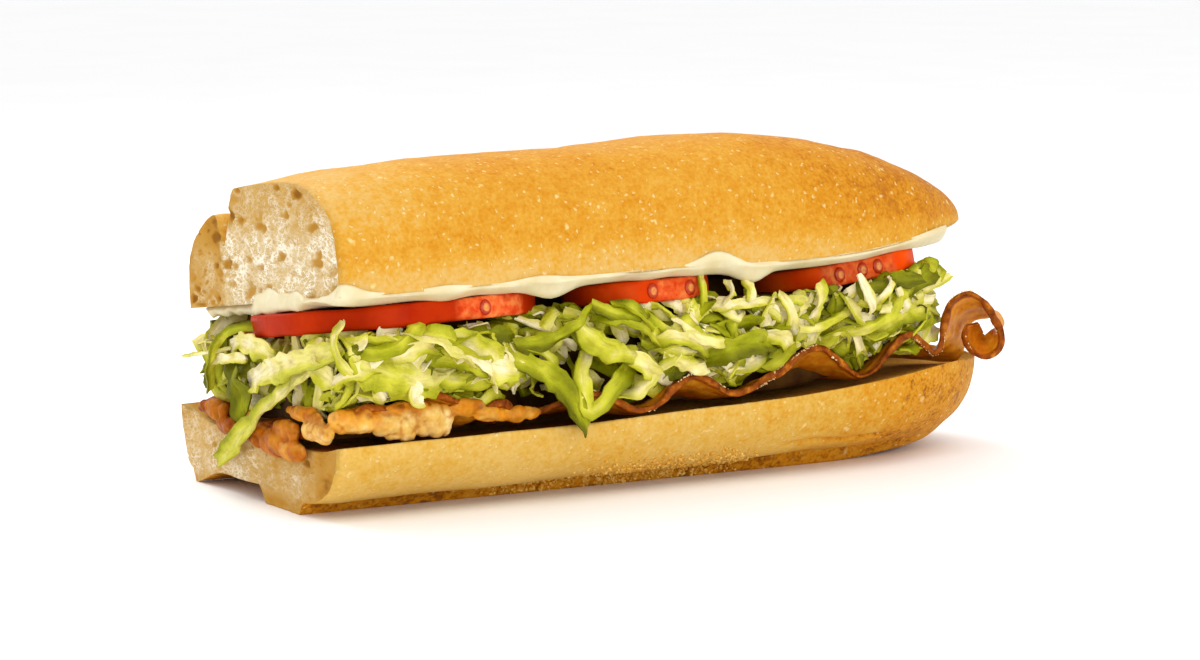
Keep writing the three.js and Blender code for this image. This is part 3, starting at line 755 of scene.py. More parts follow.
def scatter_grains(name, places, radii, seed):
    """Small lumpy grains at the given places, in one mesh."""
    bpy.ops.object.select_all(action="DESELECT")
    bpy.ops.mesh.primitive_ico_sphere_add(subdivisions=1, radius=1)
    pattern = bpy.context.object
    shape = points_of(pattern) * MM
    faces = np.array([face.vertices[:] for face in pattern.data.polygons])
    bpy.data.objects.remove(pattern)
    stretch = np.random.default_rng(seed).uniform(0.7, 1.3, (len(places), 1, 3))
    points = places[:, None] + shape[None] * radii[:, None, None] * stretch
    corners = faces[None] + len(shape) * np.arange(len(places))[:, None, None]
    return piece_from(name, points.reshape(-1, 3), corners.reshape(-1, 3).tolist())


draw = np.random.default_rng(8)
middles = np.array([face.center for face in bottom_bun.data.polygons]) / MM
areas = np.array([face.area for face in bottom_bun.data.polygons])
x, y, z = middles.T
dusted = ease(x, -52, -36) * (1 - ease(x, 8, 18)) * ((y < -12) & (z > 0.3))
dusted = dusted * np.where(z < 3, 1, 0.9 * ease(x, -32, -16) * (1 - ease(z, 4.5, 9)))
chosen = draw.choice(len(middles), MEAL_GRAINS, p=dusted * areas / (dusted * areas).sum())
places = middles[chosen] + draw.uniform((-0.9, -0.1, -0.2), (0.9, 0.05, 0.2), (len(chosen), 3))
cornmeal = scatter_grains("cornmeal", places, 0.2 + 0.22 * draw.random(len(chosen)), 9)
meal_tones = [(0.3, tint(196, 132, 34)), (0.5, tint(218, 164, 62)), (0.7, tint(240, 206, 118))]
meal_finish = mottled_finish("cornmeal", 1.2, meal_tones, Roughness=0.6, Specular_IOR_Level=0.2)
cornmeal.data.materials.append(meal_finish)
settle(cornmeal, "bread_bottom", "bottom_bun")

# %% [markdown]
# ## Mayonnaise
# The spread is a thin layer that is pressed out along the front of the top bun and sags into drips. It is
# the same drawn-out block, with soft lumps on its lower face, and it closes round at its far end.
# Mayonnaise lets a little light in, so its shader has some subsurface scattering and a wet shine.

# %% Mayonnaise
GAP = 0.3
MAYO_THICKNESS = 1.3
MAYO_INSET = 1.2
MAYO_START_X = CUT_X - 0.8
MAYO_END_X = 67
# x, depth of a drip or rise of a swell over the crust, half length
MAYO_DRIPS = [(-88, 0.6, 4), (-65, 0.6, 6), (-40.5, 3, 5), (8.5, 3, 4.5), (62, 1.6, 9)]
MAYO_SWELL = [(-87, 1, 6), (-66, 0.7, 6), (-44, 0.8, 6), (-1.5, 2.7, 5.5), (62, 0.6, 9)]

mayo_finish, tree, shader = start_finish("mayonnaise", Roughness=0.35, Specular_IOR_Level=0.3,
                                         Subsurface_Weight=0.15, Subsurface_Radius=(0.003, 0.002, 0.001))
mayo_colour = ramp(tree, noise(tree, 6), [(0.3, tint(224, 213, 178)), (0.7, tint(208, 191, 142))])
tree.links.new(mayo_colour, shader.inputs["Base Color"])
roughen(tree, shader, noise(tree, 2.5), 0.3, 0.35)


def bumps_at(x, bumps):
    """Soft bumps along the roll, each with its place, its size and its half length."""
    return sum(size * np.exp(-((x - at) / reach) ** 2) for at, size, reach in bumps)


mayo = draw_out("mayonnaise_spread", 120, 10, 200)
u, v, w = points_of(mayo).T * MM
x = MAYO_START_X + (MAYO_END_X - MAYO_START_X) * w
half = np.maximum(crown_half_width(x) - MAYO_INSET, 3)
drip = bumps_at(x, MAYO_DRIPS)
swell = bumps_at(x, MAYO_SWELL)
closing = np.sqrt(np.clip(1 - ((x - MAYO_END_X + 2.5) / 2.5).clip(0, 1) ** 2, 0.02, 1))
front = np.exp(-(u / 0.06) ** 2)
depth = (MAYO_THICKNESS + 0.5 * ease(u, 0.012, 0.045) + drip * front) * np.sqrt(np.clip(u / 0.025, 0.1, 1))
depth = depth * closing * np.sqrt(np.clip((1 - u) / 0.025, 0.1, 1))
lip = 0.9 + 0.35 * drip * np.exp(-((v - 0.4) / 0.4) ** 2) + 0.55 * swell * np.exp(-((v - 0.8) / 0.5) ** 2)
across = -half - lip * closing * np.exp(-(u / 0.03) ** 2) + 2 * half * u
over = swell * v ** 2 * np.exp(-(u / 0.012) ** 2)
near_cut = 1 - ease(w, 0, 0.05)
edge_line = np.stack([0 * u, across, 0 * v], axis=-1)
smear = near_cut * (lumps(edge_line, 7, 33) + 0.5 * lumps(edge_line, 2.6, 34))
depth = depth * (1 + 0.7 * smear)
over = over + near_cut * (1.6 + 1.8 * smear) * v ** 2 * (1 - ease(across, 0, 12))
x = x + near_cut * (0.5 * smear + 3.4 * ease(across, 2, 14)) * (1 - w / 0.05).clip(0, 1)
x = x + 0.9 * near_cut * (2 * v - 1) ** 2
set_points(mayo, in_crown(x, across, 0.15 - depth * (1 - v) + over - (1 - closing) * 0.5))
soft = points_of(mayo)
soft[:, 2] -= np.where(v < 0.999, 0.3 * (1 - v) * (1 + lumps(soft, 6, 31)), 0)
soft[:, 1] += 0.5 * lumps(soft, 8, 32) * (1 - u) ** 8
set_points(mayo, soft)
mayo.data.materials.append(mayo_finish)
close_seams(mayo)
settle(mayo, "mayonnaise", "mayonnaise")

# %% [markdown]
# ## Tomato slices
# A slice is a disc with a rounded rim and a short straight edge in front, where it was trimmed. Its finish
# mixes a deep red with a lighter one by a value that each slice keeps. The slices that sit deeper in shade
# under the bun get more of the lighter red, as painted light. It shows pink flesh where a value called flesh
# says that a chamber was opened. The slices hang under the top bun, so a helper lays a flat slice on the
# bun's slope and lean.

# %% Tomato finish and place
TOMATO_THICKNESS = 4.6
TOMATO_DROP = GAP + MAYO_THICKNESS + 0.5 + TOMATO_THICKNESS
# x, across, radius, trim, the open chamber and the seeds as angles from the front, and how much of the
# lighter red a slice takes, painted light for the slices deeper in shade
TOMATO_SLICES = {
    "tomato_slice_1": (-62.5, -3.8, 29, 1.2, (2, 34), (14,), 0.0),
    "tomato_slice_2": (-11.1, -16.2, 15.3, 1.2, (-10, 26), (-14, 21), 0.5),
    "tomato_slice_3": (43.1, -10, 18.1, 1.6, (-38, 20), (-27, -7, 6), 1.0),
}

tomato_finish, tree, shader = start_finish("tomato_flesh", Roughness=0.4, Specular_IOR_Level=0.04)
red = ramp(tree, noise(tree, 7), [(0.3, tint(162, 32, 0)), (0.7, tint(186, 47, 0))])
lifted_red = ramp(tree, noise(tree, 7), [(0.3, tint(232, 58, 0)), (0.7, tint(248, 92, 8))])
# Painted light: the slices that sit deeper in shade take more of the lighter red.
red = blend(tree, attribute(tree, "shade_lift"), red, lifted_red)
flesh = ramp(tree, noise(tree, 1.8), [(0.35, tint(206, 58, 14)), (0.5, tint(222, 94, 44)),
                                      (0.65, tint(226, 122, 60))])
tree.links.new(blend(tree, attribute(tree, "flesh"), red, flesh), shader.inputs["Base Color"])
roughen(tree, shader, noise(tree, 1.6), 0.25, 0.2)


def lay_in_crown(flat, at, off):
    """Points of a slice laid on the slope under the top bun."""
    slope = math.atan(float(crown_base(at + 0.5) - crown_base(at - 0.5)))
    ahead = flat[:, 0] * math.cos(slope) - flat[:, 2] * math.sin(slope)
    above = flat[:, 0] * math.sin(slope) + flat[:, 2] * math.cos(slope)
    tilt = float(crown_tilt(at))
    y = flat[:, 1] * math.cos(tilt) + above * math.sin(tilt)
    z = above * math.cos(tilt) - flat[:, 1] * math.sin(tilt)
    base = in_crown(np.array([at]), np.array([off]), np.array([-TOMATO_DROP]))[0]
    return base + np.stack([ahead, y, z], axis=-1)


# %% [markdown]
# ### Cutting the slices
# A cylinder is added at its true size, its front is bisected away and its rims are bevelled. A voxel remesh
# then gives it even faces, so that it can be squared a little and made uneven, as a slice of a real fruit
# is. Bisecting suits a single straight cut better than a boolean, which would need a second piece.

# %% Tomato slices
SLICE_SQUARENESS = 2.35
SLICE_FACE = 0.5


def square_up(flat):
    """Squares the front half of a slice a little, as a slice is that was cut off centre."""
    far = np.hypot(flat[:, 0], flat[:, 1]) + 1e-6
    cosine, sine = np.abs(flat[:, 0]) / far, np.abs(flat[:, 1]) / far
    squared = (cosine ** SLICE_SQUARENESS + sine ** SLICE_SQUARENESS) ** (-1 / SLICE_SQUARENESS)
    wider = np.where(flat[:, 1] < 0, squared, 1)
    return flat * np.stack([wider, wider, np.ones(len(far))], axis=-1)


def remesh_evenly(piece, size):
    """New faces of one size over the whole of the active piece, which also fuses what overlaps."""
    remesh = piece.modifiers.new("even_faces", "REMESH")
    remesh.mode = "VOXEL"
    remesh.voxel_size = size * MM
    bpy.ops.object.modifier_apply(modifier="even_faces")


for node, (at, off, radius, trim, chamber, _, lift_against_shade) in TOMATO_SLICES.items():
    bpy.ops.object.select_all(action="DESELECT")
    bpy.ops.mesh.primitive_cylinder_add(vertices=96, radius=radius * MM, depth=TOMATO_THICKNESS * MM,
                                        location=(0, 0, TOMATO_THICKNESS / 2 * MM))
    slice_ = bpy.context.object
    slice_.name = slice_.data.name = node + "_cut"
    bpy.ops.object.transform_apply(location=True, rotation=True, scale=True)
    bpy.ops.object.mode_set(mode="EDIT")
    bpy.ops.mesh.select_all(action="SELECT")
    bpy.ops.mesh.bisect(plane_co=(0, (trim - radius) * MM, 0), plane_no=(0, -1, 0), clear_outer=True,
                        use_fill=True)
    select_edges(slice_, lambda a, b: abs(a.z - b.z) < 1e-6)
    bpy.ops.mesh.bevel(offset=0.6 * MM, segments=2, affect="EDGES")
    bpy.ops.object.mode_set(mode="OBJECT")
    remesh_evenly(slice_, SLICE_FACE)
    flat = square_up(points_of(slice_))
    flat[:, 1] = np.maximum(flat[:, 1], trim - radius)
    angle = np.degrees(np.arctan2(flat[:, 0], -flat[:, 1]))
    on_rim = ease(np.hypot(flat[:, 0], flat[:, 1]), radius - trim - 1.5, radius - trim - 0.5)
    opened = ease(angle, chamber[0] - 3, chamber[0] + 2) * (1 - ease(angle, chamber[1] - 2, chamber[1] + 3))
    store(slice_, "shade_lift", np.full(len(flat), lift_against_shade))
    store(slice_, "flesh", on_rim * opened * (1 - 0.35 * (lumps(flat, 3, 44) > 0.25)))
    flat += 0.2 * np.stack([lumps(flat, 6, 41), lumps(flat, 6, 42), lumps(flat, 5, 43)], axis=-1)
    set_points(slice_, lay_in_crown(flat, at, off))
    slice_.data.materials.append(tomato_finish)
    settle(slice_, "tomato", node)

# %% [markdown]
# ### Tomato seeds
# Where a chamber was opened, a few seeds lie in the cut edge, each in a ring of darker jelly. One seed is a
# sphere, flattened and dished in the middle, and the copies are joined into one mesh.

# %% Tomato seeds
SEED_RADIUS = 1.55

seed_finish, tree, shader = start_finish("tomato_seed", Roughness=0.25, Specular_IOR_Level=0.3)
jelly = ramp(tree, noise(tree, 0.8), [(0.3, tint(160, 34, 2)), (0.7, tint(190, 56, 10))])
kernel = ramp(tree, noise(tree, 0.6), [(0.3, tint(214, 112, 40)), (0.7, tint(226, 158, 84))])
tree.links.new(blend(tree, attribute(tree, "ring"), kernel, jelly), shader.inputs["Base Color"])
roughen(tree, shader, noise(tree, 0.6), 0.3, 0.15)


def join_pieces(pieces, name):
    """One piece made of several."""
    bpy.ops.object.select_all(action="DESELECT")
    for piece in pieces:
        piece.select_set(True)
    bpy.context.view_layer.objects.active = pieces[0]
    bpy.ops.object.join()
    joined = bpy.context.object
    joined.name = joined.data.name = name
    return joined


seed_pieces = []
for at, off, radius, trim, _, seeds, _ in TOMATO_SLICES.values():
    for angle in seeds:
        bpy.ops.object.select_all(action="DESELECT")
        bpy.ops.mesh.primitive_uv_sphere_add(segments=24, ring_count=16, radius=1)
        seed = bpy.context.object
        ball = points_of(seed) * MM
        wide = np.hypot(ball[:, 0], ball[:, 2])
        dish = 0.45 * (1 - ease(wide, 0.2, 0.62))
        bulge = 0.35 * (ball[:, 1] + np.where(ball[:, 1] < 0, dish, 0))
        along = radius * math.sin(math.radians(angle))
        out = radius - trim + 0.1
        flat = np.stack([along + SEED_RADIUS * 0.85 * ball[:, 0],
                         -out + SEED_RADIUS * bulge,
                         TOMATO_THICKNESS / 2 + SEED_RADIUS * 1.05 * ball[:, 2]], axis=-1)
        set_points(seed, lay_in_crown(flat, at, off))
        store(seed, "ring", ease(wide, 0.42, 0.6))
        seed_pieces.append(seed)
tomato_seeds = join_pieces(seed_pieces, "tomato_seeds")
tomato_seeds.data.materials.append(seed_finish)
settle(tomato_seeds, "tomato", *TOMATO_SLICES)

# %% [markdown]
# ## Bacon
# A rasher is a thin strip that shrank into ripples as it fried. Its lines are worked out here, and the
# strip is laid along them in the next step. A smooth line gives its front edge in plan, one its width, and
# one the height of its ripples, which die away inwards. The rolled end of the long rasher can't be told by
# heights, because it turns back over itself, so its two edges are drawn as the camera sees them, right and
# up, with a depth for the far edge.

# %% Bacon lines
BACON_LAY = 1.4
FRILL_REACH = 8
ROW_POINTS = 400
CURL_POINTS = 110
# As the camera sees them: right and up of the front edge, then right, up and depth of the back edge
CURL_LINE = [
    (0.9, 1.6, -3.5, -1.6, 13), (1.4, 6, 5.6, -2.4, 13), (2.2, 10, 6.8, 1.6, 12), (4.3, 13, 7.4, 5.6, 11),
    (7.4, 14.1, 9.4, 7, 11), (10.2, 12.3, 12.6, 7.8, 11), (12, 9, 15, 7.6, 11), (13.4, 6.4, 15.4, 5.2, 10),
    (14.4, 4, 13, 4.6, 8), (14, 1.5, 11.8, 3.8, 7), (12.6, -0.2, 11, 3.6, 6), (10.6, -0.9, 10.6, 3.6, 6),
    (8.7, 0, 10.4, 3.8, 6), (6.8, 1.9, 10.4, 4.2, 6), (5.7, 4.5, 10.6, 4.6, 6), (6.4, 6.6, 11, 5, 6),
    (8.1, 7.6, 11.4, 5.2, 6),
]
RASHERS = {  # front edge in plan, width, and height of the front edge above the bun's rim
    "bacon_front_right": (
        [(-45, -29), (-30, -32.6), (15, -32.6), (45, -29.5), (64, -24.5)],
        [(-42, 26), (30, 26), (63.5, 15)],
        [(-42, 2), (-27, 4.6), (-19, 0.2), (-4, 5.6), (4.5, 1.2), (16, 4), (27.5, 8.4), (40.5, 0),
         (54.5, 7), (63.5, 0.6)]),
    "bacon_front_left": (
        [(-89.5, -32.6), (-60, -33.4), (-46, -32.6)],
        [(-89.5, 34), (-46, 30)],
        [(-89.5, 3.5), (-83, 6.4), (-77, 6), (-67, 8), (-61.5, 6), (-56, 3), (-51, 5), (-46, 1.4)]),
    "bacon_back": (
        [(-89, 7), (-40, 5), (30, 0), (76, -4)],
        [(-89, 23), (76, 20)],
        [(-89, 1), (-82, 5), (-72, 1), (-58, 4), (-45, 1), (-30, 4.6), (-14, 1), (2, 5), (18, 1), (36, 5),
         (52, 0), (66, 4), (76, 1)]),
}


def frill(inward):
    """The share of a ripple that is left at a distance in from the front edge."""
    return 0.25 + 0.75 * np.exp(-(inward / FRILL_REACH) ** 2)


def rasher_edge(node, x, across):
    """A line along a rasher, at a share of its width from the front edge."""
    front, width, ripple = RASHERS[node]
    inward = across * smooth_line(width)(x)
    y = smooth_line(front)(x) + inward
    left = 1 - 0.4 * across if node == "bacon_back" else frill(inward)
    sag = 0.8 * (heel_rim(x) - heel_top(x, y))
    return np.stack([x, y, heel_rim(x) + BACON_LAY + smooth_line(ripple)(x) * left - sag], axis=-1)


def curve_through(points, count):
    """Points at even steps along a smooth curve."""
    points = np.asarray(points, float)
    walked = walked_along(points)
    place = np.linspace(0, walked[-1], count)
    return np.stack([smooth_line(np.stack([walked, side], axis=-1))(place) for side in points.T], axis=-1)


def curl_edge(foot, across):
    """The rolled end of a rasher, from its foot on: an arch that ends in a small loop."""
    right = np.array([math.cos(VIEW_TURN), -math.sin(VIEW_TURN), 0])
    away = np.array([math.sin(VIEW_TURN), math.cos(VIEW_TURN), 0])
    lines = curve_through(CURL_LINE, CURL_POINTS)
    front = lines[:, :1] * (right + 0.1 * away) + lines[:, 1:2] * (0, 0, 1)
    back = lines[:, 2:3] * right + lines[:, 3:4] * (0, 0, 1) + lines[:, 4:] * away
    return foot + front + (back - front) * across


def rasher_row(node, across):
    """A dense line along a rasher, with its curl where it has one."""
    ripple = RASHERS[node][2]
    x = np.linspace(ripple[0][0], ripple[-1][0], ROW_POINTS)
    row = rasher_edge(node, x, across)
    if node == "bacon_front_right":
        foot = rasher_edge(node, x[-1:], 0)[0]
        row = np.concatenate([row, curl_edge(foot, across)])
        soft = np.stack([np.convolve(side, np.ones(9) / 9, "same") for side in row.T], axis=-1)
        row[5:-5] = soft[5:-5]
    return row


print("rashers:", list(RASHERS))

# %% [markdown]
# ### Laying the rashers
# The strip is a grid, given its thickness by Solidify and rounded by Subdivision. Every row of the grid
# follows its own line, so the strip bends as a whole, and its ends are drawn in. After the modifiers, small
# lumps are added along the normals, because fried meat is blistered all over. Fat and lean lie in streaks
# along it, and a value that the mesh stores picks the gold of the fat. The same value carries painted light:
# more gold near the front edge and inside the curl, which are lit, and less along the long rasher's straight
# part, which lies in shade. A value called rim makes the front edge crisp and dark.

# %% Bacon
bacon_finish, tree, shader = start_finish("crisp_bacon", Roughness=0.4, Specular_IOR_Level=0.07)
lean = ramp(tree, noise(tree, 2.4), [(0.3, tint(120, 40, 0)), (0.7, tint(180, 88, 4))])
gold = ramp(tree, noise(tree, 2), [(0.3, tint(204, 116, 8)), (0.7, tint(244, 174, 44))])
rind = ramp(tree, noise(tree, 1.8), [(0.3, tint(98, 40, 4)), (0.55, tint(152, 76, 12)),
                                     (0.75, tint(204, 128, 36))])
cream = ramp(tree, noise(tree, 2.4), [(0.3, tint(206, 152, 60)), (0.5, tint(222, 182, 98)),
                                      (0.7, tint(238, 212, 144))])
meat = blend(tree, attribute(tree, "fat_and_light"), lean, gold)
meat = blend(tree, attribute(tree, "rim"), meat, rind)
meat = blend(tree, attribute(tree, "lobe"), meat, cream)
tree.links.new(meat, shader.inputs["Base Color"])
roughen(tree, shader, noise(tree, 0.8), 0.45, 0.25)


def kept(piece, name):
    """Numbers that a piece keeps under a name, one for each point."""
    values = np.zeros(len(piece.data.vertices), np.float32)
    piece.data.attributes[name].data.foreach_get("value", values)
    return values.astype(float)


def lay_rasher(node, columns, rows):
    """A grid laid along a rasher's lines, thickened, rounded and blistered."""
    rasher = unit_grid(node + "_rasher", columns, rows)
    share, across, _ = points_of(rasher).T * MM
    across = across ** 1.5
    walked = walked_along(rasher_row(node, 0))

    def on_row(level, share):
        """Places on a line of the rasher, as far along as the front edge was walked."""
        row = rasher_row(node, level)
        return np.stack([np.interp(share * walked[-1], walked, side) for side in row.T], axis=-1)

    laid = np.zeros((len(share), 3))
    for level in np.unique(across.round(5)):
        here = np.abs(across - level) < 1e-4
        laid[here] = on_row(level, share[here])
    narrower = 1 - ease(share * walked[-1], walked[-1] - 5, walked[-1]) ** 2
    middle = on_row(0.5, share)
    laid = middle + (laid - middle) * (0.25 + 0.75 * np.sqrt(narrower))[:, None]
    laid[:, 1] += 0.9 * (1 - across) ** 6 * lumps(laid * (1, 0, 0), 4.5, 50)
    set_points(rasher, laid)
    store(rasher, "along", share * walked[-1])
    store(rasher, "across", across)
    thicken = rasher.modifiers.new("thickness", "SOLIDIFY")
    thicken.thickness = 1.25 * MM
    thicken.offset = 0
    thicken.edge_crease_inner = thicken.edge_crease_outer = 0.7
    rounding = rasher.modifiers.new("rounding", "SUBSURF")
    rounding.levels = rounding.render_levels = 1
    for modifier in ("thickness", "rounding"):
        bpy.ops.object.modifier_apply(modifier=modifier)
    body = points_of(rasher)
    across_mm = kept(rasher, "across") * smooth_line(RASHERS[node][1])(body[:, 0])
    along_mm = kept(rasher, "along")
    streak = lumps(np.stack([along_mm / 24, across_mm / 3.4, 0 * along_mm], axis=-1), 1, 51)
    blister = 0.3 * lumps(body, 3.5, 52) + 0.2 * lumps(body, 1.5, 53)
    set_points(rasher, body + normals_of(rasher) * blister[:, None])
    # Painted light in the gold: more gold near the front edge, which is lit. On the long rasher there is
    # less gold on the straight part, as painted shade, and more inside the curl, as painted light, fading at
    # the end of the loop.
    gold_and_light = np.maximum(ease(streak, 0.1, 0.5), 1 - ease(across_mm, 5, 10))
    if node == "bacon_front_right":
        rolled = along_mm - walked[ROW_POINTS]
        gold_and_light = np.maximum(0.55 * gold_and_light, 0.72 * ease(rolled, -3, 3)) * (1 - 0.7 * ease(rolled, 30, 36))
    store(rasher, "fat_and_light", gold_and_light * ease(across_mm, 0.9, 1.8))
    store(rasher, "rim", 1 - ease(across_mm + 0.4 * lumps(body, 3, 54), 0.5, 1.2))
    store(rasher, "lobe", np.zeros(len(body)))
    rasher.data.materials.append(bacon_finish)
    settle(rasher, "bacon", node)


lay_rasher("bacon_front_right", 230, 18)
lay_rasher("bacon_front_left", 100, 24)
lay_rasher("bacon_back", 180, 12)

# %% [markdown]
# ### Lobes of fat
# At the front left the fat swelled out of the rasher in thick pale lobes, and the cut end shows lumps of red
# meat. Each lobe is a sphere, stretched to its size. The lobes are joined, fused by a voxel remesh and
# puffed up along their normals, which looks more like fried fat than separate balls would. Each lobe has its
# own mix of cream, gold and crisp rim, which blends into its neighbour's. In the creases between the puffs,
# the mix gives way to the darker lean as painted shade.

# %% Bacon fat
FAT_FACE = 0.3
FAT_LOBES = [  # middle, half sizes, and shares of cream, gold and crisp rim
    ((-84.3, -31.6, 20.9), (6.2, 1.7, 2.9), (0.45, 1, 0)),
    ((-75.6, -31.8, 19.6), (4.8, 1.9, 3.1), (0.85, 0.6, 0)),
    ((-67.4, -32, 20), (5.6, 2, 3.7), (1, 0.4, 0)),
    ((-71.5, -32, 22.4), (7, 1.4, 1.9), (0.15, 0.8, 0.2)),
    ((-73.6, -32.2, 17.8), (3, 1.6, 1.9), (0.9, 0.5, 0)),
    ((-65.6, -32.2, 17.9), (3.2, 1.6, 2), (1, 0.4, 0)),
    ((-79.6, -31.6, 21), (2.6, 1.4, 2.2), (0.3, 1, 0)),
    ((-59, -32.4, 21.6), (4.4, 1, 2), (0.1, 0.9, 0.3)),
    ((-53, -32.4, 19.9), (4.6, 1, 1.7), (0.05, 0.9, 0.2)),
    ((-46, -32.2, 19.5), (5, 1, 1.5), (0.05, 0.8, 0.3)),
    ((-90.4, -27, 18.6), (2, 6.2, 2.4), (0.7, 0.6, 0)),
    ((-90.2, -21, 21.2), (1.5, 8, 1.5), (0.1, 0.9, 0.3)),
    ((-90.4, -13, 17), (1.5, 5.5, 2.4), (0, 0.4, 0.1)),
    ((-90.8, -9, 13.8), (1.6, 7, 3), (0, 0.35, 0)),
    ((-90.8, -16.5, 13.4), (1.6, 6, 2.3), (0.05, 0.5, 0)),
    ((-90.4, 0, 14.2), (1.5, 6.5, 2.4), (0, 0.3, 0.2)),
    ((-90.4, 20, 17), (1.4, 5, 2), (0, 0.4, 0.3)),
    ((-90.4, 14, 14.4), (1.4, 5, 1.7), (0, 0.2, 0.4)),
    ((-90.6, 24.6, 17), (1.2, 2.2, 1.4), (0, 0, 1)),
]

lobes = []
for middle, half_sizes, _ in FAT_LOBES:
    bpy.ops.mesh.primitive_ico_sphere_add(subdivisions=4, radius=1)
    lobe = bpy.context.object
    set_points(lobe, points_of(lobe) * MM * half_sizes + middle)
    lobes.append(lobe)
bacon_fat = join_pieces(lobes, "bacon_fat")
remesh_evenly(bacon_fat, FAT_FACE)
lump = points_of(bacon_fat)
puffed = 0.8 * np.abs(lumps(lump, 3.3, 56)) + 0.35 * np.abs(lumps(lump, 1.6, 57))
puffed = puffed + 0.1 * lumps(lump, 0.8, 58) - 0.38
set_points(bacon_fat, lump + normals_of(bacon_fat) * puffed[:, None])
far = np.stack([np.linalg.norm((lump - middle) / half_sizes, axis=1)
                for middle, half_sizes, _ in FAT_LOBES], axis=-1)
share = np.exp(-5 * (far - far.min(1, keepdims=True)))
kinds = share @ np.array([kind for *_, kind in FAT_LOBES]) / share.sum(1, keepdims=True)
crisp = ease(lump[:, 2] + 0.7 * lumps(lump, 2.2, 64), 20.6, 23.6) * (lump[:, 0] > -88.5)
kinds = kinds * (1 - crisp[:, None]) + crisp[:, None] * (0, 0.9, 0.4)
patchy = 0.35 * lumps(lump, 2.2, 59)
kinds[:, 2] += 0.7 * ease(lumps(lump, 1.5, 65), 0.25, 0.6) * ease(lump[:, 2], 19, 22)
# Painted shade: in the creases the mix gives way to the darker lean.
crease_shade = 1 - 0.6 * (1 - ease(puffed, -0.34, -0.08))
for name, values in zip(("lobe", "fat_and_light", "rim"), kinds.T):
    store(bacon_fat, name, np.clip(values + patchy * (values > 0.02), 0, 1) * crease_shade)
bacon_fat.data.materials.append(bacon_finish)
settle(bacon_fat, "bacon", "bacon_front_left")

# %% [markdown]
# ### Painted glints of fat
# Tiny pale beads stand for the glints of fat along the rim of the long rasher. Their pale colour is a
# painted highlight. They come in stretches, now on the upper face and now on the lower, so seeded lumps
# decide where they lie. The grains that made the cornmeal serve again.

# %% Bacon beads
draw = np.random.default_rng(3)
rim = rasher_row("bacon_front_right", 0)
inward = rasher_row("bacon_front_right", 0.05) - rim
walk = np.gradient(rim, axis=0)
upward = np.cross(walk, inward)
upward = upward / np.linalg.norm(upward, axis=1, keepdims=True)
spots = draw.integers(20, len(rim) - 8, 700)
spots = spots[lumps(rim[spots], 4, 61) > 0]
sides = np.where(lumps(rim[spots], 9, 60) > -0.1, -0.62, 0.62)
places = rim[spots] + upward[spots] * sides[:, None] + draw.normal(0, 0.09, (len(spots), 3))
glint_beads = scatter_grains("bacon_glint_beads", places, 0.08 + 0.13 * draw.random(len(spots)) ** 2, 4)
# Painted highlights: pale beads that stand for glints of fat on the rim.
glint_tones = [(0.3, tint(214, 168, 96)), (0.7, tint(248, 228, 180))]
glint_finish = mottled_finish("painted_glints", 1, glint_tones, Roughness=0.3, Specular_IOR_Level=0.4)
glint_beads.data.materials.append(glint_finish)
settle(glint_beads, "bacon", "bacon_front_right")

# %% [markdown]
# ## Lettuce
# Shredded lettuce is a heap of strips a few millimetres wide, each white where it crossed a rib and green
# where it crossed the leaf. A value called green picks the colour. The veins are a noise stretched along
# each strip, for which the mesh stores where a point lies along and across its own strip. A little
# subsurface scattering lets light through the thin leaf.

# %% Lettuce finish
leaf_finish, tree, shader = start_finish("lettuce_leaf", Roughness=0.5, Specular_IOR_Level=0.12,
                                         Subsurface_Weight=0.15, Subsurface_Radius=(0.001, 0.0012, 0.0003))
leaf = ramp(tree, attribute(tree, "green"), [(0, tint(242, 230, 188)), (0.18, tint(230, 218, 136)),
                                             (0.42, tint(200, 196, 56)), (0.7, tint(154, 156, 12)),
                                             (1, tint(98, 98, 0))])
grain = add_node(tree, "ShaderNodeCombineXYZ", {"X": attribute(tree, "side"), "Y": attribute(tree, "along")})
drawn = add_node(tree, "ShaderNodeMapping", {"Vector": grain.outputs[0]}, Scale=(1.1, 0.3, 1))
streaks = add_node(tree, "ShaderNodeTexNoise", {"Vector": drawn.outputs[0]}, Scale=1, Detail=4)
streaks = streaks.outputs["Fac"]
veins = ramp(tree, streaks, [(0.35, tint(190, 180, 110)), (0.5, (1, 1, 1, 1)), (0.62, (1.15, 1.15, 1.2, 1))])
leaf = blend(tree, 0.35, leaf, veins, "MULTIPLY")
blotch = ramp(tree, noise(tree, 2.4, 3), [(0.35, tint(206, 200, 150)), (0.6, (1, 1, 1, 1))])
tree.links.new(blend(tree, 0.3, leaf, blotch, "MULTIPLY"), shader.inputs["Base Color"])
roughen(tree, shader, math_node(tree, "ADD", streaks, noise(tree, 1.3, 3)), 0.7, 0.5)

shade_tones = [(0.35, tint(58, 26, 4)), (0.65, tint(88, 60, 12))]
shade_finish = mottled_finish("lettuce_shade", 5, shade_tones, Roughness=0.8, Specular_IOR_Level=0.2)
print("lettuce finishes:", leaf_finish.name, shade_finish.name)

# %% [markdown]
# ### The core of the heap
# Strips alone would leave holes through the heap, so a dark core fills it and shows as shade between them.
# It is the drawn-out block once more, from just over the bacon to just under the tomato, and it rises where
# no slice lies above. The same limits hold the strips later on.

# %% Lettuce core
CORE_START_X = -85
CORE_LENGTH = 142
RASHERS_MEET_X = -45.5
FARTHEST_FRONT = 36.0


def heap_ceiling(x, across):
    """The height just under the tomato."""
    return in_crown(np.asarray(x, float), across, -TOMATO_DROP - 0.9)[..., 2]


def free_of_tomato(x, across):
    """1 where no slice lies above, and 0 under a slice."""
    free = np.ones(len(x))
    for at, off, radius, *_ in TOMATO_SLICES.values():
        free = np.minimum(free, ease(np.hypot(x - at, across - off) - radius, 1, 2.5))
    return free


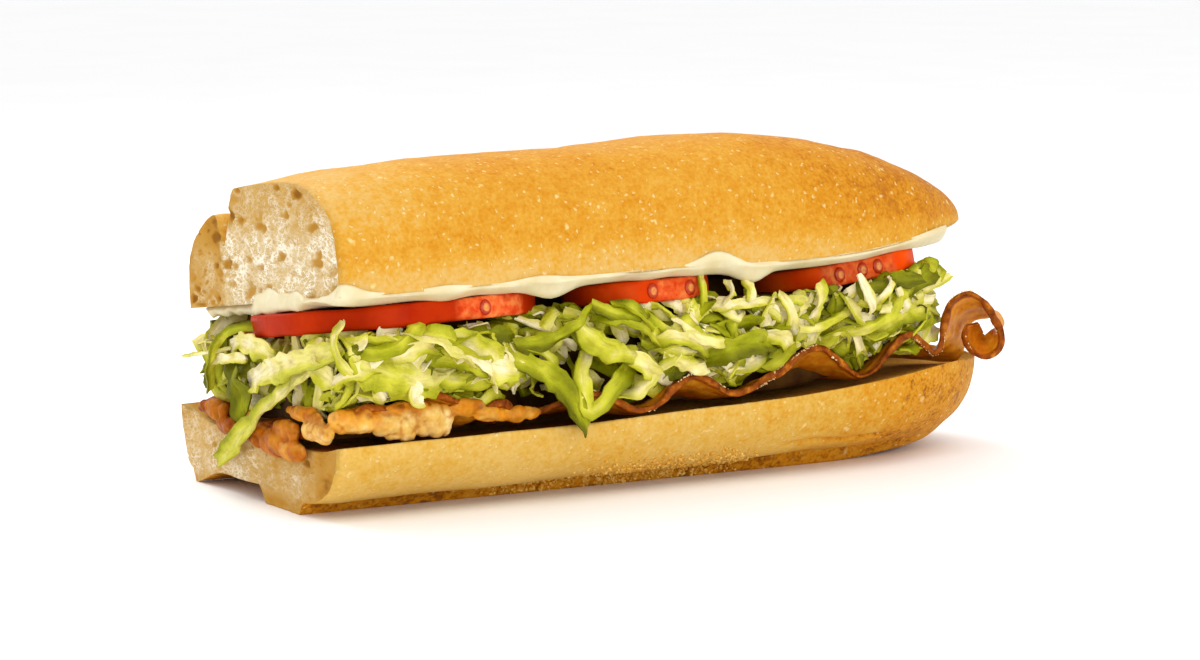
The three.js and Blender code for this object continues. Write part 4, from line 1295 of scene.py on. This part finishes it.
def front_rasher(x):
    """The lines of the rasher that shows along the front at x."""
    return RASHERS["bacon_front_left" if x < RASHERS_MEET_X else "bacon_front_right"]


def bed_height(x, y):
    """The height of the bacon that the heap lies on."""
    front, _, ripple = front_rasher(x)
    inward = max(y - float(smooth_line(front)(x)), 0)
    return float(heel_rim(x) + BACON_LAY + smooth_line(ripple)(x) * frill(inward)) + 1.3


def heap_front(x, z):
    """How far forward the heap reaches at a height: it starts behind the bacon's edge and leans out."""
    edge = -float(smooth_line(front_rasher(x)[0])(x))
    return min(edge - 1 + 0.45 * max(z - bed_height(x, -edge), 0), FARTHEST_FRONT)


core = draw_out("lettuce_core", 50, 16, 120)
u, v, w = points_of(core).T * MM
x = CORE_START_X + CORE_LENGTH * w
half = np.minimum(25 - 8 * np.exp(-((x + 33) / 14) ** 2), heel_half_width(x) - 9)
half = half * np.sqrt(1 - 0.8 * ease(w, 0.86, 1))
low = heel_top(x, 0) + 3
across = half * (2 * u - 1)
raised = v * free_of_tomato(x, across) * ease(across, -14, -8) * ease(x, -76, -66)
high = heap_ceiling(x, across) + 4.4 * raised
set_points(core, np.stack([x, across + 1, low + (high - low) * v], axis=-1))
heap = points_of(core)
heap += 1.4 * np.stack([lumps(heap, 7, 61), lumps(heap, 7, 62), 0.4 * lumps(heap, 7, 63)], axis=-1)
set_points(core, heap)
core.data.materials.append(shade_finish)
settle(core, "lettuce", "lettuce")

# %% [markdown]
# ### One strip
# A strip of leaf is thin, uneven and never flat. A ribbon of points is laid along a curve, with its flat
# side towards a given direction. It is turned and twisted, cupped across, ruffled at its rims and crinkled
# by small lumps, then given two faces and closed edges. A curve with a bevel would be quicker to set up,
# but every strip would have the same plain section. There are over a thousand strips, so they are made from
# arrays and gathered in one mesh.

# %% Making a strip
LEAF_THICKNESS = 0.5
shreds = {"points": [], "faces": [], "green": [], "side": [], "along": [], "count": 0}


def unit(vectors):
    """The same directions, with a length of one."""
    return vectors / np.maximum(np.linalg.norm(vectors, axis=-1, keepdims=True), 1e-9)


def ribbon_faces(first, steps, strands):
    """The faces of a closed ribbon, whose points start at first: front, back, long edges and ends."""
    ring = strands + 1
    back = first + ring * (steps + 1)
    faces = []
    for i, j in itertools.product(range(steps), range(strands)):
        a = i * ring + j
        b = a + ring
        faces.append((first + a, first + a + 1, first + b + 1, first + b))
        faces.append((back + a, back + b, back + b + 1, back + a + 1))
    for i, j in itertools.product(range(steps), (0, strands)):
        a = i * ring + j
        faces.append((first + a, first + a + ring, back + a + ring, back + a))
    for j, i in itertools.product(range(strands), (0, steps)):
        a = i * ring + j
        faces.append((first + a, first + a + 1, back + a + 1, back + a))
    return faces


def add_shred(path, width, facing, green, steps, strands, turn=0.0, twist=0.0, fold=0.3, slant=0.5):
    """A ribbon along a curve. Its flat side faces a direction, and green runs from its start to its end."""
    middle = curve_through(path, steps + 1)
    share = np.linspace(0, 1, steps + 1)
    along = unit(np.gradient(middle, axis=0))
    side = unit(np.cross(along, np.asarray(facing, float)))
    face = np.cross(side, along)
    angle = (turn + twist * (share - 0.5))[:, None]
    side, face = side * np.cos(angle) + face * np.sin(angle), face * np.cos(angle) - side * np.sin(angle)
    narrow = np.minimum(1, 0.7 + 3 * np.minimum(share, 1 - share))
    half = width / 2 * (1 + 0.3 * lumps(middle, 4, 71)) * narrow
    spread = np.linspace(-1, 1, strands + 1)
    count = shreds["count"]
    torn = np.stack([lumps(middle, 1.6, 75 + count % 7), lumps(middle, 1.6, 85 + count % 5)], axis=-1)
    over = half[:, None] * spread * (1 + 0.4 * np.where(spread < 0, torn[:, :1], torn[:, 1:]))
    bent = fold * half[:, None] * (np.abs(spread) - 0.5)
    ruffle = 0.25 * half[:, None] * spread ** 3 * np.sin(9 * share + 3 * turn)[:, None]
    sheet = middle[:, None] + side[:, None] * over[..., None]
    sheet = sheet + along[:, None] * (slant * half[:, None] * spread * (2 * share[:, None] - 1))[..., None]
    sheet = sheet + face[:, None] * (bent + ruffle)[..., None]
    crinkle = lumps(sheet.reshape(-1, 3), 1.7, 73) + 0.9 * lumps(sheet.reshape(-1, 3), 3.2, 74)
    sheet = sheet + face[:, None] * (0.18 + 0.09 * width) * crinkle.reshape(sheet.shape[:2])[..., None]
    body = np.repeat(face[:, None] * LEAF_THICKNESS / 2, strands + 1, axis=1)
    first = sum(len(block) for block in shreds["points"])
    shreds["points"] += [(sheet + body).reshape(-1, 3), (sheet - body).reshape(-1, 3)]
    shreds["faces"] += ribbon_faces(first, steps, strands)
    freckles = lumps(sheet.reshape(-1, 3), 2.6, 72).reshape(sheet.shape[:2])
    tone = green[0] + (green[1] - green[0]) * share[:, None] + 0.26 * spread * math.cos(4 * turn + 1)
    tone = tone + 0.24 * (np.abs(spread) - 0.5) + 0.2 * freckles
    shaded = 0.13 * np.exp(-((middle[:, :1] + 28) / 18) ** 2) * (middle[:, 1:2] < 0)
    tone = np.clip(tone + 0.03 + shaded, 0, 1)
    shreds["green"] += [tone.ravel(), tone.ravel()]
    shreds["side"] += 2 * [(half[:, None] * spread + 9.7 * count).ravel()]
    walked = np.linalg.norm(middle[-1] - middle[0]) * share
    shreds["along"] += 2 * [np.repeat(walked, strands + 1)]
    shreds["count"] += 1


# %% [markdown]
# ### Strips that show
# The eye goes to the strips that hang over the bacon, stick out at the ends or lie across the front. Those
# are set one by one: the bent ones as curves, and the flat ones by their middle, the way they lie and their
# length, on the front of the heap.

# %% Strips that show, set one by one
BENT_STRIPS = [  # curve in mm, width, and green at the start and the end
    ([(-57, -31, 36), (-46, -35, 30), (-39, -36.6, 25), (-33, -37, 16)], 6, (0.5, 0.75)),
    ([(-84, -36, 37.5), (-90.5, -28, 33), (-92.4, -15, 25.5), (-92.6, 0, 16.4), (-92.6, 14.6, 6.9)],
     4.6, (0.1, 0.55)),
    ([(-87, 9, 31), (-91.8, 8, 27), (-92.4, 5, 22), (-91.5, 3, 18.5)], 6.5, (0.95, 0.85)),
    ([(-84, -4, 37), (-89, 2, 36.6), (-92.5, 9, 35), (-93, 15, 31), (-92.5, 18, 26.5), (-91.5, 20, 21)],
     2.6, (0.7, 0.5)),
    ([(-91, 11, 31), (-93, 21, 29), (-93, 30, 27.3)], 0.9, (0.2, 0.2)),
    ([(-90, 12, 31), (-92.4, 2, 33.5), (-91, -10, 31.5)], 4.4, (0.0, 0.4)),
    ([(-91, 18, 28), (-93, 10, 29.2), (-91.5, 2, 30)], 2.6, (0.0, 0.15)),
    ([(-90, 5, 24.5), (-93, -12, 29), (-92.4, -26, 33), (-88, -34, 36)], 6.5, (0.0, 0.35)),
    ([(-88, -24, 37), (-92, -27, 33), (-90, -33, 29)], 4, (0.1, 0.3)),
    ([(-74, -34, 29), (-72.6, -35.4, 27.4), (-73.4, -35.8, 25.2), (-71, -35.4, 24.2)], 3, (0, 0.05)),
    ([(-86, -30, 41), (-89.5, -33, 38), (-89.5, -35, 34), (-87, -36, 31)], 2.6, (0.3, 0.25)),
    ([(-30, -32, 32), (-34, -36, 26), (-32.4, -36.8, 19.4), (-26, -36.4, 24), (-20, -33, 29)],
     4.2, (0.12, 0.6)),
    ([(-1, -33.5, 38.6), (6, -36, 39.2), (14, -34.5, 39.2)], 2.6, (0.12, 0.15)),
    ([(-3, -32.5, 46), (-4.2, -35.4, 42), (-3, -34, 38)], 1.9, (0.4, 0.45)),
    ([(54, -24, 37), (58, -28, 38), (61, -29.5, 40), (64, -29, 41)], 2, (0.3, 0.2)),
    ([(43, -26, 40.4), (49, -31, 41), (55, -31.6, 41)], 3, (0.7, 0.95)),
    ([(50, -25, 30), (56, -25, 31.5), (62, -22, 33)], 4, (0.35, 0.55)),
    ([(52, -25, 35), (58, -25, 33.5), (63, -22, 31)], 4, (0.1, 0.3)),
    ([(54, -24, 38), (59, -24, 36.5), (63, -21, 34)], 3.6, (0.5, 0.7)),
    ([(57, -23, 26.5), (61, -24, 29), (62, -22, 33)], 3.6, (0.05, 0.3)),
    ([(58, -22, 36), (62, -22, 33), (64, -20, 29)], 5, (0.6, 0.4)),
    ([(56, -22, 30), (61, -22, 30.5), (65, -19, 31.5)], 5, (0.5, 0.7)),
    ([(55, -25, 29), (61, -24.4, 31), (66.5, -21, 31.5)], 4, (0.4, 0.5)),
    ([(54, -25.5, 33), (60, -24.6, 34), (66, -21.4, 33)], 4.5, (0.2, 0.45)),
    ([(57, -24, 26), (62, -23.6, 27), (66, -21, 28.5)], 4, (0.3, 0.1)),
    ([(57, -24, 36.5), (61, -24, 36), (65.5, -21, 35)], 4, (0.5, 0.6)),
]
FLAT_STRIPS = [  # x, z, lie in degrees, length, width, and green at the start and the end
    (-41, 30, -37, 15, 2.6, 0.3, 0.45), (-27, 33, -28, 19, 5, 0.25, 0.3), (-19, 27, -31, 10, 4, 0.05, 0.3),
    (-19, 24, 35, 10, 3, 0.3, 0.1), (-8, 31.5, -14, 16, 3.6, 0.25, 0.4), (-7, 28, -16, 13, 4, 0.1, 0.25),
    (6, 29.5, 9, 20, 4.6, 0.8, 0.7), (-4, 33.5, -24, 14, 3, 0.1, 0.4), (2, 42, 90, 4, 2.6, 0.1, 0.2),
    (7, 41.5, 85, 4, 2.8, 0.15, 0.3), (25, 38, 80, 10, 2.5, 0.1, 0.3), (38, 38.5, -66, 10, 2.2, 0.05, 0.2),
    (17, 36, -69, 10, 2.2, 0.3, 0.2), (27, 34, 10, 16, 2.5, 0.3, 0.5), (17, 29.5, -32, 12, 3.4, 0.2, 0.3),
    (42, 34.5, 25, 20, 3, 0.45, 0.5), (50, 31, 16, 22, 3.4, 0.45, 0.55), (51, 36, -46, 9, 2.4, 0.05, 0.2),
    (42, 39.5, 50, 7, 2, 0.1, 0.1), (-78, 37, 18, 15, 4, 0.7, 0.5), (-72, 34.5, 9, 12, 3.6, 0.15, 0.2),
    (-75, 31, -15, 27, 9, 0.4, 0.35), (-85, 31, 17, 11, 3.6, 0.1, 0.3), (-57, 29, 1, 22, 4, 0.5, 0.3),
    (-61, 31, -18, 20, 4.4, 0.6, 0.5), (-24, 39.5, -12, 14, 3.4, 0.6, 0.5),
    (-22, 36.5, -19, 18, 4, 0.6, 0.3), (-40, 36.5, 18, 19, 3.4, 0.8, 0.7),
    (-21, 38.5, -31, 12, 2.6, 0.6, 0.4), (-79, 26.5, -60, 7, 3, 0, 0.05), (-58, 32, -30, 16, 6, 0.1, 0.3),
    (-52, 30, -12, 14, 5, 0.15, 0.2), (-66, 35.5, -22, 16, 6, 0.2, 0.5),
]
for path, width, green in BENT_STRIPS:
    facing = (-1, -0.15, 0.2) if path[1][0] < -89 else (0, -1, 0.25)
    add_shred(path, 0.85 * width, facing, green, 22, 6)
for k, (x, z, lie, length, width, start, end) in enumerate(FLAT_STRIPS):
    reach = np.array([-0.5, -0.2, 0.2, 0.5]) * length
    over = x + reach * math.cos(math.radians(lie))
    wave = 0.06 * length * np.array([-0.6, 1, 0.6, -1]) * (-1) ** k
    rise = z + reach * math.sin(math.radians(lie)) + wave
    depth = np.array([heap_front(a, b) for a, b in zip(over, rise)]) - (1.5, -0.8, -0.6, 1.8)
    path = np.stack([over, -depth, rise], axis=-1)
    facing = (0.2 * math.sin(k), -1, 0.3 + 0.4 * math.cos(2 * k))
    add_shred(path, width, facing, (start, end), 18, 6, turn=0.4 * math.sin(3 * k),
              twist=0.8 * math.cos(5 * k), fold=0.4 * (-1) ** k, slant=0.9 * math.sin(2 * k))
print("strips set by hand:", shreds["count"])

# %% [markdown]
# ### Strips that fill the heap
# The rest of the heap is strewn by random numbers with a fixed seed, so that it is the same at every run.
# At each place the strips lean the way that they lie in the real heap, with some scatter. The first ones
# lie deep and the last ones outermost. A particle system could strew copies of one strip, but here every
# strip is shaped for its own place.

# %% Strips that fill the heap
pick = np.random.default_rng(5)
LIE = smooth_line([(-90, 30), (-64, 15), (-46, -28), (-12, -30), (8, -5), (30, 30), (64, 20)])  # degrees


def leaf_tones():
    """Green at the start and the end of a strip: some ribs, mostly leaf, some dark outer leaf."""
    tone = pick.choice([0.08, 0.42, 0.75], p=[0.33, 0.4, 0.27]) + pick.normal(0, 0.1)
    return tone, tone + pick.normal(0, 0.2)


def strew(path, width, facing):
    """A strip of the heap, turned, twisted and folded by chance."""
    add_shred(path, width, facing, leaf_tones(), 8, 3, turn=pick.normal(0, 0.4), twist=pick.normal(0, 0.9),
              fold=pick.uniform(-0.7, 0.7), slant=pick.uniform(-1.2, 1.2))


def side_strips(count, front, longest, widest):
    """Strips along a long side of the heap: front is -1 and back is 1. The last ones lie outermost."""
    for k in range(count):
        x = pick.uniform(-87, 60)
        level = pick.uniform(0, 1)
        hollow = front < 0 and -50 < x < -14  # a dark hollow behind the strips that hang there
        if hollow and level < 0.7 and pick.random() < 0.85:
            continue
        low = bed_height(x, -30) if front < 0 else float(heel_rim(x)) + 4
        high = float(heap_ceiling(x, 27 * front)) + (4.5 if front > 0 else -0.8 if x < -45 else 0.5)
        lie = math.radians(float(LIE(x)) + pick.normal(0, 32 if x < 10 else 48))
        length = pick.uniform(0.35, 1) * longest * (1 if x < 10 else 0.75)
        tuck = pick.uniform(0.5, 4)
        bow = pick.uniform(-0.14, 0.14) * length
        path = []
        for s in (-0.5, -0.25, 0, 0.25, 0.5):
            near = float(np.clip(x + length * s * math.cos(lie), -88, 61))
            rise = low + (high - low) * level + length * s * math.sin(lie) + bow * (1 - 4 * s * s)
            bed = bed_height(near, front * 30) if front < 0 else low
            rise = min(max(rise, bed + 0.8), high)
            reach = heap_front(near, rise) if front < 0 else min(33.0, float(heel_half_width(near)) - 2)
            deep = 5 * (1 - k / count) + tuck * (2 * s) ** 2 + 3 * hollow
            path.append((near, front * (reach - deep), rise))
        strew(path, pick.uniform(0.45, 1) * widest, (pick.normal(0, 0.5), front, pick.normal(0.3, 0.5)))


def end_strips(count, x, end):
    """Strips that stick out at an end of the heap: the cut end is -1 and the tip 1."""
    for _ in range(count):
        half = min(29.0, float(heel_half_width(np.array(x))) - 7)
        y = pick.uniform(-half, half)
        low, high = float(heel_rim(x)) + 4, float(heap_ceiling(x, y)) + 0.3
        z = pick.uniform(low, high)
        lie = pick.uniform(0, math.pi)
        length = pick.uniform(7, 19)
        out = pick.uniform(-1, 3.2)
        path = []
        for s in (-0.5, -0.2, 0.2, 0.5):
            over = np.clip(y + length * s * math.cos(lie), -half - 1, half + 1)
            rise = np.clip(z + length * s * math.sin(lie), low, high)
            path.append((x + end * (out - 7 * (2 * s) ** 2), over, rise))
        strew(path, pick.uniform(1.2, 3.8), (end, pick.normal(0, 0.4), pick.normal(0, 0.4)))


side_strips(330, -1, 17, 4.4)
side_strips(260, -1, 12, 3.8)
side_strips(260, 1, 20, 4)
end_strips(120, -87, -1)
end_strips(150, 57, 1)

lettuce = piece_from("lettuce_shreds", np.concatenate(shreds["points"]), shreds["faces"])
for name in ("green", "side", "along"):
    store(lettuce, name, np.concatenate(shreds[name]))
lettuce.data.materials.append(leaf_finish)
make_active(lettuce)
bpy.ops.object.mode_set(mode="EDIT")
bpy.ops.mesh.select_all(action="SELECT")
bpy.ops.mesh.normals_make_consistent(inside=False)
bpy.ops.mesh.select_mode(type="EDGE")
bpy.ops.mesh.select_all(action="DESELECT")
bpy.ops.mesh.edges_select_sharp(sharpness=math.radians(50))
bpy.ops.mesh.mark_sharp()
bpy.ops.object.mode_set(mode="OBJECT")
settle(lettuce, "lettuce", "lettuce")
print("strips in all:", shreds["count"])
